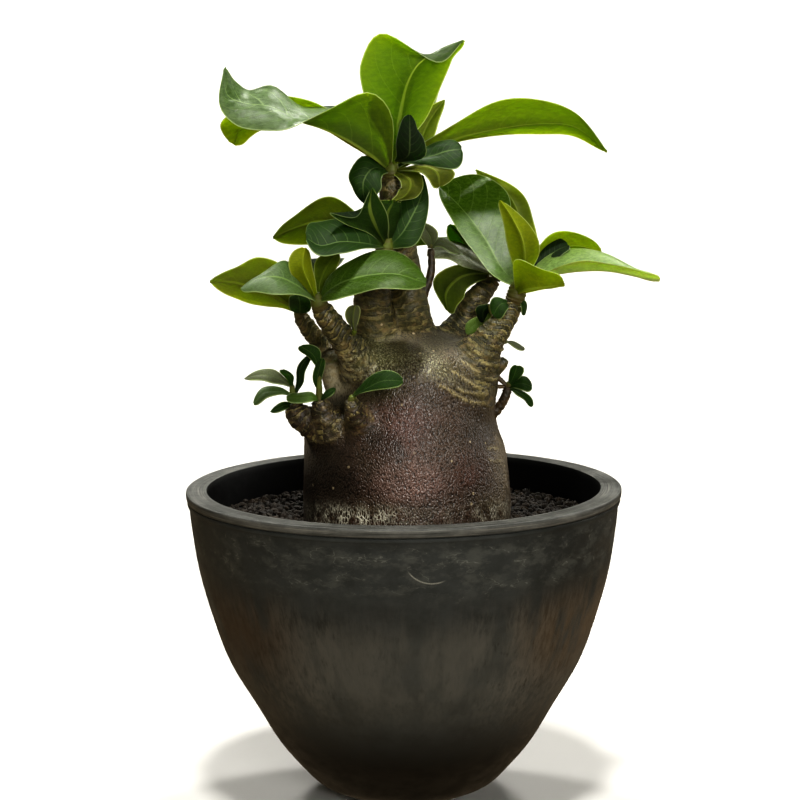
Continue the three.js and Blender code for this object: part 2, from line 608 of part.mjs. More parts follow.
// Solid plate of even thickness over a grid of points, split alike on both faces
function plate(grid, thick) {
  const rows = grid.length;
  const cols = grid[0].length;
  const normal = (i, j) => {
    const du = grid[Math.min(i + 1, rows - 1)][j].clone().sub(grid[Math.max(i - 1, 0)][j]);
    const dv = grid[i][Math.min(j + 1, cols - 1)].clone().sub(grid[i][Math.max(j - 1, 0)]);
    return V(0, 0, 0).crossVectors(dv, du).normalize();
  };
  const points = [1, -1].flatMap((face) => grid.flatMap((row, i) => row.map((p, j) =>
    p.clone().addScaledVector(normal(i, j), (face * thick) / 2))));
  const at = (i, j, face) => face * rows * cols + i * cols + j;
  const faces = [];
  for (let i = 0; i + 1 < rows; i += 1) {
    for (let j = 0; j + 1 < cols; j += 1) {
      const top = [at(i, j, 0), at(i, j + 1, 0), at(i + 1, j + 1, 0), at(i + 1, j, 0)];
      const low = top.map((k) => k + rows * cols);
      faces.push([top[0], top[1], top[2]], [top[0], top[2], top[3]]);
      faces.push([low[0], low[2], low[1]], [low[0], low[3], low[2]]);
    }
  }
  const rim = [];
  for (let j = 0; j < cols; j += 1) rim.push([0, j]);
  for (let i = 1; i < rows; i += 1) rim.push([i, cols - 1]);
  for (let j = cols - 2; j >= 0; j -= 1) rim.push([rows - 1, j]);
  for (let i = rows - 2; i > 0; i -= 1) rim.push([i, 0]);
  rim.forEach(([i, j], k) => {
    const [m, n] = rim[(k + 1) % rim.length];
    faces.push([at(i, j, 0), at(m, n, 1), at(m, n, 0)], [at(i, j, 0), at(i, j, 1), at(m, n, 1)]);
  });
  return solid(points, faces);
}

// Rows for a plain leaf of the far side
function farRows({ base, tip, half, arch, cup }) {
  const from = V(...base);
  const way = V(...tip).sub(from);
  const side = V(0, 0, 0).crossVectors(way, V(0, 0, 1)).normalize();
  const up = V(0, 0, 0).crossVectors(side, way).normalize();
  return FAR_WIDTHS.map((share, i) => {
    const q = (i + 1) / (FAR_WIDTHS.length + 1);
    const mid = from.clone().addScaledVector(way, q).addScaledVector(up, 4 * arch * q * (1 - q));
    const edge = (sign) =>
      mid.clone().addScaledVector(side, sign * half * share).addScaledVector(up, cup * share);
    return [mid, edge(-1), edge(1)].map((p) => p.toArray());
  });
}

// Leaves and green stem of one shoot, in one piece, clear of the brown wood
function shoot({ stem, leaves }, wood) {
  const line = stem.map(seen);
  const body = leaves.reduce((sum, each) => {
    const rows = each.rows ?? farRows(each);
    const [along, across] = each.rows && !each.small ? LARGE_GRID : SMALL_GRID;
    return sum.add(leaf({ ...each, rows }, line, along, across));
  }, limb({ path: stem, sides: 7, steps: 1, knobs: 0 }, 0));
  return largest(body.subtract(wood));
}

function largest(body) {
  return body.decompose().reduce((a, b) => (b.volume() > a.volume() ? b : a));
}

// Pot, with drain holes in its floor
function pot() {
  const shell = revolve([[0, 0], ...POT_OUTSIDE, ...POT_INSIDE, [0, POT_FLOOR]], POT_SIDES);
  return circle(DRAIN_COUNT, (a) => a + Math.PI / 4).reduce((body, a) => {
    const hole = [-1, POT_FLOOR + 1].map((z) => circle(12, (b) => V(
      DRAIN_AT * Math.cos(a) + DRAIN_RADIUS * Math.cos(b),
      DRAIN_AT * Math.sin(a) + DRAIN_RADIUS * Math.sin(b),
      z,
    )));
    return body.subtract(loft(hole));
  }, shell);
}

// Soil: fills the pot's inside, its top uneven, with a hole for the trunk
function soil() {
  const wall = POT_INSIDE.slice(2).reverse().map(([r, z]) => [r - GAP, z]);
  wall[0][1] += GAP;
  const lip = wall[wall.length - 1];
  lip[1] = SOIL_TOP - 2;
  const bump = (x, y) => SOIL_BUMP * (Math.sin(0.31 * x + 1) * Math.cos(0.27 * y)
    + 0.5 * Math.sin(0.13 * x - 0.22 * y) + 0.4 * Math.cos(0.61 * y + 0.2 * x));
  const sides = wall.map(([r, z]) => circle(SOIL_SIDES, (a) => V(r * Math.cos(a), r * Math.sin(a), z)));
  const top = SOIL_RINGS.map((r) => circle(SOIL_SIDES, (a) => {
    const [x, y] = [r * Math.cos(a), r * Math.sin(a)];
    return V(x, y, SOIL_TOP + bump(x, y));
  }));
  return loft([...sides, ...top]).subtract(caudex(GAP));
}

function mesh(name, body, color, roughness) {
  const made = body.getMesh();
  const points = new Float32Array(made.numVert * 3);
  for (let i = 0; i < made.numVert; i += 1) {
    points.set(made.vertProperties.subarray(i * made.numProp, i * made.numProp + 3), i * 3);
  }
  const geometry = new THREE.BufferGeometry();
  geometry.setAttribute("position", new THREE.BufferAttribute(points, 3));
  geometry.setIndex(new THREE.BufferAttribute(made.triVerts, 1));
  geometry.computeVertexNormals();
  const material = new THREE.MeshStandardMaterial({ color, roughness, metalness: 0 });
  const result = new THREE.Mesh(geometry, material);
  result.name = name;
  return result;
}

const plant = new THREE.Group();
plant.name = "potted_desert_rose";
plant.add(mesh("pot", pot(), 0x2d2f2b, 0.55));
plant.add(mesh("soil", soil(), 0x2e2823, 0.95));
plant.add(mesh("trunk", trunk(0), 0x54443a, 0.6));
const wood = trunk(GAP);
SHOOTS.forEach((each) => plant.add(mesh(each.name, shoot(each, wood), 0x4f7a2a, 0.4)));

export default plant;
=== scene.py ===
import math

import bmesh
import bpy
import numpy as np
from mathutils import Matrix, Vector, noise


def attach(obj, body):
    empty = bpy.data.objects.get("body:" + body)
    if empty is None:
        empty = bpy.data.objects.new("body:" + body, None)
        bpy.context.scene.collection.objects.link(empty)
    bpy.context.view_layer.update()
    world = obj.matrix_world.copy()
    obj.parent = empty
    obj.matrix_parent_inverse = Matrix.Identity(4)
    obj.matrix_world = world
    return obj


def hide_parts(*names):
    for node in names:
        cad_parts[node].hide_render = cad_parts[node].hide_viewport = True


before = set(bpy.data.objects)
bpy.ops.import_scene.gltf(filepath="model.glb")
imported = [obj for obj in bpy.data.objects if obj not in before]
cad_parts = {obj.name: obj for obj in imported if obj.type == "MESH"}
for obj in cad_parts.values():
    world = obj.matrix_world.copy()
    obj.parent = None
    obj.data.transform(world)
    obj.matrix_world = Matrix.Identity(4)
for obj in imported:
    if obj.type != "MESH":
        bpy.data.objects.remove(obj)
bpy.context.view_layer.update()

MM = 0.001
FAR_OFF = 1e6
TINY = 1e-9
SEED = 41
TURN = 2 * math.pi

# Camera: place in metres, pitch and roll in degrees, lens and sensor in mm
CAMERA_AT = (-0.0016, -1.626, 0.477)
CAMERA_PITCH = 9.0
CAMERA_ROLL = -0.51
CAMERA_LENS = 134.55
CAMERA_SENSOR = 36.0
# The eye that the plant's points are given from, mm
EYE = np.array([-1.6, -1626.0, 477.0])

# Pot: outside wall from the base up and inside wall from the rim down, each (radius, height)
POT_OUTSIDE = [
    (36.5, 0), (39, 1), (49.4, 6), (58.5, 15), (71.2, 30.5), (83.3, 51), (97.7, 76), (106.9, 102),
    (113.6, 127), (117.5, 152.5), (118.5, 163), (119.4, 163.6), (119.5, 165.6), (118.9, 166),
    (119.9, 166.5), (120.2, 170), (119.4, 171),
]
POT_INSIDE = [
    (108.8, 171), (108.2, 164), (107.6, 152), (106.4, 127), (100.6, 102), (91.4, 76), (77, 51),
    (64.6, 30.5), (51.5, 15), (43, 6),
]
POT_FLOOR = 6.0
POT_SIDES = 256
DRAIN_RADIUS = 5.0
DRAIN_AT = 23.0
DRAIN_HOLES = 4
DRAIN_SIDES = 24

# Soil: its side and bed rings, and its loose grains' sizes, ring and least spacing
SOIL_TOP = 153.0
SOIL_SIDE = [(44, 6.6), (64, 30.5), (76.6, 51), (91, 76), (100.2, 102), (106, 127), (107, 150.5)]
SOIL_RINGS = [104.0 - 4 * i for i in range(13)]
SOIL_SIDES = 160
SOIL_BED = (24, 21, 17)
SOIL_GRAIN = (62, 55, 46)
GRAINS = 2300
GRAIN_TRIES = 60000
GRAIN_SIZE = (1.15, 2.35)
GRAIN_RING = (55.5, 105.6)
GRAIN_LIMIT = 106.4
GRAIN_GAP = 0.62
GRAIN_CELL = 5

# Sections of the swollen trunk: height, centre x, centre y, half width, half depth
CAUDEX_FROM = 124.0
CAUDEX = [
    (84, 2, 0, 30, 30), (92, 2, 0, 44, 44), (106, 2, 0, 52, 52), (128, 2, 0, 56, 56),
    (150, 2, 0, 57.2, 57), (168, 1.6, 0, 57.3, 57), (182, 1.2, 0, 56.4, 56),
    (194, 0.4, 0, 55.2, 55), (204, -1, 0, 53, 53), (213, 1, 0, 49.5, 50), (222, 3, 0, 46.5, 47),
    (231, 4, 0, 45, 45), (239, 4.5, 0, 43, 43), (247, 4, 0, 37, 37), (253, 3, 0, 27, 28),
    (257, 3, 0, 15, 16),
]
CAUDEX_SIDES = 96
# Lower edge of the greenish shoulder, and where the pale wrinkles above the soil start and end
SHOULDER = 229
WRINKLES_FROM = (152, 156)
WRINKLES_END = 174
WRINKLES_FADE = 160
TRUNK_VOXEL = 1.0
WOOD_BLEND = 1.6

# Limbs: where one runs into the wood below, spacing and height of its rings of leaf scars, and
# its points x, y, z, radius
LIMBS = [
    (6, 5.2, 0.45, [
        (-10, -4, 236, 17), (-14, -8, 252, 12), (-16, -11, 268, 10.5), (-16, -15, 284, 9),
        (-12, -19, 293, 7), (-9, -20, 301, 5)]),
    (6, 5.0, 0.45, [
        (6, 0, 232, 20), (6, 0, 250, 14), (5, 0, 264, 11), (3, 0, 280, 9.8), (0, 0, 300, 8.6),
        (-3, 0, 318, 7.4), (-5, -1, 334, 6.8), (-5, -1, 341, 5.6)]),
    (6, 4.0, 0.85, [
        (-20, -22, 232, 13), (-26, -31, 244, 9), (-32, -38, 253, 7), (-38, -42, 261, 6.2),
        (-44, -44, 270, 5.2)]),
    (5, 3.6, 0.55, [
        (-32, -6, 230, 9), (-39, -8, 243, 6), (-45, -10, 251, 4.8), (-51, -12, 259, 4.6),
        (-55, -13.5, 265.5, 4)]),
    (8, 3.8, 0.9, [
        (32, -12, 226, 19), (39, -15, 239, 13.5), (46, -17, 250, 9), (52, -16, 258, 7),
        (57, -14, 265, 6), (61, -13, 272, 5.2)]),
    (7, 4.2, 0.6, [
        (18, 8, 240, 14), (27, 12, 254, 9), (34, 16, 264, 7.5), (40, 19, 274, 6.6),
        (49.5, 22, 285.5, 4.8)]),
    (5, 1, 0, [(-30, -14, 222, 8), (-36, -16, 231, 8), (-38, -15, 240, 7)]),
    (6, 3.2, 0.8, [
        (-36, -20, 200, 14), (-48, -25, 206, 9), (-57, -27, 211, 6.5), (-60, -27, 217, 4)]),
    (5, 3.0, 0.8, [(-34, -28, 200, 12), (-42, -33, 210, 7), (-46, -35, 219, 4)]),
    (5, 2.8, 0.8, [(-20, -38, 204, 9), (-26, -45, 212, 6), (-28, -48, 219, 3)]),
    (3, 1, 0, [(40, -11, 232, 7), (49, -13, 235, 4), (54, -13, 238, 3), (56.5, -13, 241.5, 2.2)]),
]
TWIGS = [
    [(4, 8, 258, 4), (11, 11, 276, 2.6), (16, 13, 290, 2.2), (16, 14, 303, 2)],
    [(47, -4, 236, 1.6), (53, -6, 231, 1.3), (58, -6, 226, 1.2)],
    [(47, -5, 226, 1.4), (52, -6, 226.5, 1.2), (58, -6, 226, 1)],
    [(44, -4, 208, 5), (52, -5, 214, 3), (56, -6, 220, 2.6), (58, -6, 226, 2.2)],
]
LIMB_STEPS = 8
LIMB_SIDES = 24
TWIG_SIDES = 14
STEM_SIDES = 18

# Skin folds on the front: width, height, paleness, and points x, z as they look from the front
FOLDS = [
    (1.0, 0.55, 0.75, [(18, 228.5), (25, 225), (31, 221), (37, 218), (42.5, 217.4), (48.5, 218)]),
    (0.8, 0.50, 0.60, [(28.5, 227), (35, 223.6), (41.5, 222.4), (47.5, 223)]),
    (0.8, 0.70, 0.85, [(26, 236.5), (32.5, 231.5), (39.5, 227), (44.7, 225.7)]),
    (0.8, 0.70, 0.80, [(32, 241.4), (38, 237), (43, 233)]),
    (0.9, 0.80, 0.60, [(35, 245.8), (42, 239.4), (47.5, 238.5), (52, 240)]),
    (0.9, 0.55, 0.30, [(38, 249.7), (44.8, 244.3), (52, 244)]),
    (0.8, 0.50, 0.35, [(-51, 207.6), (-44.7, 208.7), (-34.8, 203)]),
    (0.9, 0.55, 0.40, [(-54, 197.6), (-46, 196.4), (-37.7, 198), (-32.6, 202.4)]),
    (0.8, 0.50, 0.35, [(-34.8, 208.6), (-29.3, 205.2), (-22.6, 208.5)]),
    (0.7, 0.45, 0.30, [(-30.8, 216.9), (-28, 214), (-24, 216.9)]),
    (0.8, 0.40, 0.25, [(-50, 203), (-42, 202), (-36, 204)]),
    (1.0, 0.60, 0.80, [(-26, 234), (-20, 236.3), (-15, 239.6)]),
    (0.8, 0.50, 0.55, [(-44.3, 240), (-41.5, 243.7), (-37, 246.5)]),
    (0.9, 0.60, 0.50, [(-35, 246.5), (-30.5, 242), (-26.7, 243)]),
    (2.0, 0.50, 0.12, [(-10, 259.5), (-2.4, 257.8), (8.6, 260)]),
    (0.7, 0.30, 0.40, [(46, 192), (50, 192.4), (53, 191)]),
    (0.7, 0.30, 0.35, [(47, 186), (51, 184.5), (54, 185)]),
]

# Wood colours, and soft places on its front: x, z, half sizes, amount, and for patches a colour.
# Some patches are painted shade or painted highlights, marked in the list
WOOD_LOW = (82, 68, 54)
WOOD_RED = (100, 68, 60)
WOOD_OLIVE = (108, 103, 70)
WOOD_BRANCH = (80, 78, 36)
WOOD_GREY = (180, 172, 146)
WOOD_PALE = (196, 182, 132)
WOOD_DARK = (34, 24, 15)
WOOD_TWIG = (70, 56, 36)
REDDISH = [(0, 206, 13, 15, 0.75), (7, 173, 20, 10, 0.75)]
FLECKED = [(-18, 242, 14, 9, 1.9), (16, 239, 14, 11, 0.8), (30, 231, 12, 8, 0.25)]
FLECKLESS = [(35, 238, 10, 9, 0.8)]
# Dull places are rougher and carry fewer flecks; the first two lie under the painted shade in the
# hollow between the stem and the right limb
DULL = [(15, 257, 11, 10, 1), (30, 254, 12, 8, 0.8), (-3, 259, 14, 6, 0.6)]
DIP = [(4, 233, 9, 20, 1)]
KNOB = [(-36.5, 230, 7.5, 14, 1.3)]
WRINKLED = [(-18, 159, 15, 9, 1.3), (-38, 157, 11, 7, 0.7), (50, 158, 9, 8, 0.5)]
PATCHES = [
    (-16, 243, 14, 9, 0.8, (128, 128, 88)), (22, 237, 16, 12, 0.65, (92, 86, 58)),
    (35, 265, 8, 12, 0.7, (38, 34, 12)), (-1, 236, 5, 14, 0.4, (76, 76, 44)),
    # Both patches here are painted shade in the hollow between the stem and the right limb
    (15, 257, 10, 9, 0.9, (30, 24, 8)), (29, 254, 12, 7, 0.9, (28, 23, 9)),
    (25, 244, 5, 4, 0.5, (96, 70, 54)), (35, 228, 9, 6, 0.8, (66, 58, 36)),
    (46, 233, 7, 8, 0.5, (84, 76, 42)), (34, 237, 9, 8, 0.7, (86, 72, 46)),
    # The first patch here, at x 3 and z 174, is a painted highlight low on the front of the trunk
    (3, 174, 17, 11, 0.7, (160, 134, 122)), (6, 205, 20, 18, 0.5, (82, 58, 48)),
    # Both patches here are painted shade down the right side of the trunk
    (43, 206, 13, 20, 0.85, (50, 38, 18)), (42, 180, 12, 32, 0.7, (46, 34, 20)),
    (-2, 258, 12, 5, 0.5, (110, 96, 56)), (10, 222, 24, 7, 0.5, (66, 56, 42)),
    (37, 180, 9, 10, 0.7, (92, 56, 44)), (-22, 158, 22, 4, 0.4, (110, 100, 74)),
    (-25, 268, 8, 15, 0.65, (48, 50, 28)), (-8, 272, 3, 14, 0.6, (40, 36, 18)),
    (-50, 158, 6, 6, 0.6, (96, 92, 78)), (48, 160, 8, 8, 0.4, (100, 90, 60)),
    # Both patches here are painted shade, low on the left side of the trunk
    (-38, 170, 17, 14, 0.9, (20, 16, 12)), (-42, 189, 17, 17, 0.85, (26, 21, 15)),
    # The first patch here, at x 57, is a painted highlight along the right edge of the trunk
    (57, 192, 7, 34, 0.65, (142, 130, 102)), (-38, 205, 12, 6, 0.45, (96, 84, 44)),
]

# Green of the shoots' stems, low and high
STEM_LOW = (84, 74, 40)
STEM_HIGH = (104, 118, 44)

# Leaf colours: upper face, lower face, and how much duller than the glossiest leaf. Some are lit or
# shaded copies that carry painted light, shade or sheen, as marked below
TONES = {
    "plain": ((38, 70, 4), (92, 108, 28), 0.3),
    "sunny": ((66, 94, 14), (94, 120, 12), 0.10),
    "bright": ((66, 94, 16), (118, 130, 34), 0.10),
    # Painted light: a brighter lower face for leaves that others shade
    "lit": ((66, 94, 16), (140, 150, 22), 0.10),
    "gold": ((62, 86, 16), (114, 114, 52), 0.10),
    "dusty": ((96, 120, 72), (84, 100, 26), 0.06),
    "silver": ((82, 110, 36), (92, 106, 34), 0.02),
    "glossy": ((84, 116, 28), (88, 104, 34), -0.05),
    # Painted shade: a darker copy of the green for leaves under others
    "deep": ((20, 44, 4), (40, 62, 14), 0.5),
    "moss": ((40, 66, 8), (70, 80, 26), 0.3),
    "olive": ((62, 84, 20), (96, 102, 30), 0.10),
    # Painted sheen on the upper face and painted light on the lower face
    "pale": ((132, 158, 88), (176, 186, 130), 0.08),
    "grey": ((108, 114, 86), (104, 108, 82), 0.10),
    # Painted sheen: a pale grey copy of the leaf colour
    "grey_sheen": ((164, 170, 144), (150, 156, 130), 0.10),
}

# The two faces of a leaf: colour of its shade, of its veins and midrib, then how strong and how
# high its veins are, its midrib's width, roughness, specular level and subsurface weight
UPPER = ((204, 210, 196), (158, 184, 112), 0.7, -0.5, 0.8, (0.26, 0.36), 0.42, 0.3)
LOWER = ((228, 232, 224), (172, 188, 84), 0.2, 0.5, 1.5, (0.5, 0.6), 0.2, 0.9)

# Leaves: samples along and across a half blade, thickness, stalk half width, and the shape of a
# blade's start
LEAF_SAMPLES = (36, 9)
SMALL_SAMPLES = (20, 6)
SAMPLE_POWER = 1.25
ACROSS_POWER = 0.85
BLADE = 0.62
EDGE_BLADE = 0.34
PETIOLE = 1.5
LEAF_START = 1.1
LEAF_END = 0.6
LEAF_BULGE = 0.1
TIP_FROM = 0.992
ROOT_SHARE = 0.85
EDGE_WAVE = 2.2
FAR_WIDTHS = (0.72, 0.97, 0.92)
# Full scale of the half widths and lengths that a leaf's material reads, mm
SPAN_HALF = 40.0
SPAN_ALONG = 160.0

FLOOR_LOW = (202, 201, 198)
FLOOR_HIGH = (208, 207, 204)
FLOOR_RINGS = [(60000, -1.4), (60000, -0.4), (4000, -0.4), (900, -0.4), (200, -0.4)]
SURROUNDINGS = (0.86, 0.86, 0.85)
WALL_RADIUS = 59000
WORLD_LOW = (0.34, 0.27, 0.18)
WORLD_HIGH = (0.088, 0.086, 0.068)
WORLD_STEPS = (0.34, 0.52)
VIEW_LOOK = "High Contrast"
# Soft lights: name, azimuth, elevation, angle, strength, colour
SUNS = [
    ("overhead", 0, 76, 7, 2.2, (1.0, 0.985, 0.95)),
    ("back_right", 148, 50, 10, 1.3, (1.0, 0.985, 0.95)),
    ("back_left", 208, 46, 10, 1.3, (1.0, 0.985, 0.95)),
    ("front", 16, 16, 20, 1.3, (1.0, 0.98, 0.95)),
    ("side_right", 112, 10, 30, 0.5, (1.0, 0.98, 0.95)),
]


def unit(v):
    length = np.linalg.norm(v)
    return v / length if length > TINY else v


def leaf(tone, end, base, tip, rows, small=False, bulge=LEAF_BULGE):
    """Leaf as seen from the front. end: how slowly its tip narrows. rows: places from base to
    tip, each x, y, z of the midrib, the left edge and the right edge as seen from above."""
    places = [np.reshape(row, (3, 3)) for row in rows]
    return dict(tone=tone, end=end, base=base, tip=tip, rows=places, small=small, bulge=bulge)


def small_leaf(*values):
    return leaf(*values, small=True)


def far_leaf(base, tip, half, arch, cup):
    """Plain leaf of the far side: half width, height of its arch and depth of its cup."""
    start = np.array(base, float)
    way = np.array(tip, float) - start
    side = unit(np.cross(way, (0, 0, 1)))
    up = unit(np.cross(side, way))
    rows = []
    for i, share in enumerate(FAR_WIDTHS):
        q = (i + 1) / (len(FAR_WIDTHS) + 1)
        mid = start + way * q + up * 4 * arch * q * (1 - q)
        out = side * half * share
        lift = up * cup * share
        rows.append([mid, mid - out + lift, mid + out + lift])
    return leaf("plain", LEAF_END, base, tip, rows)


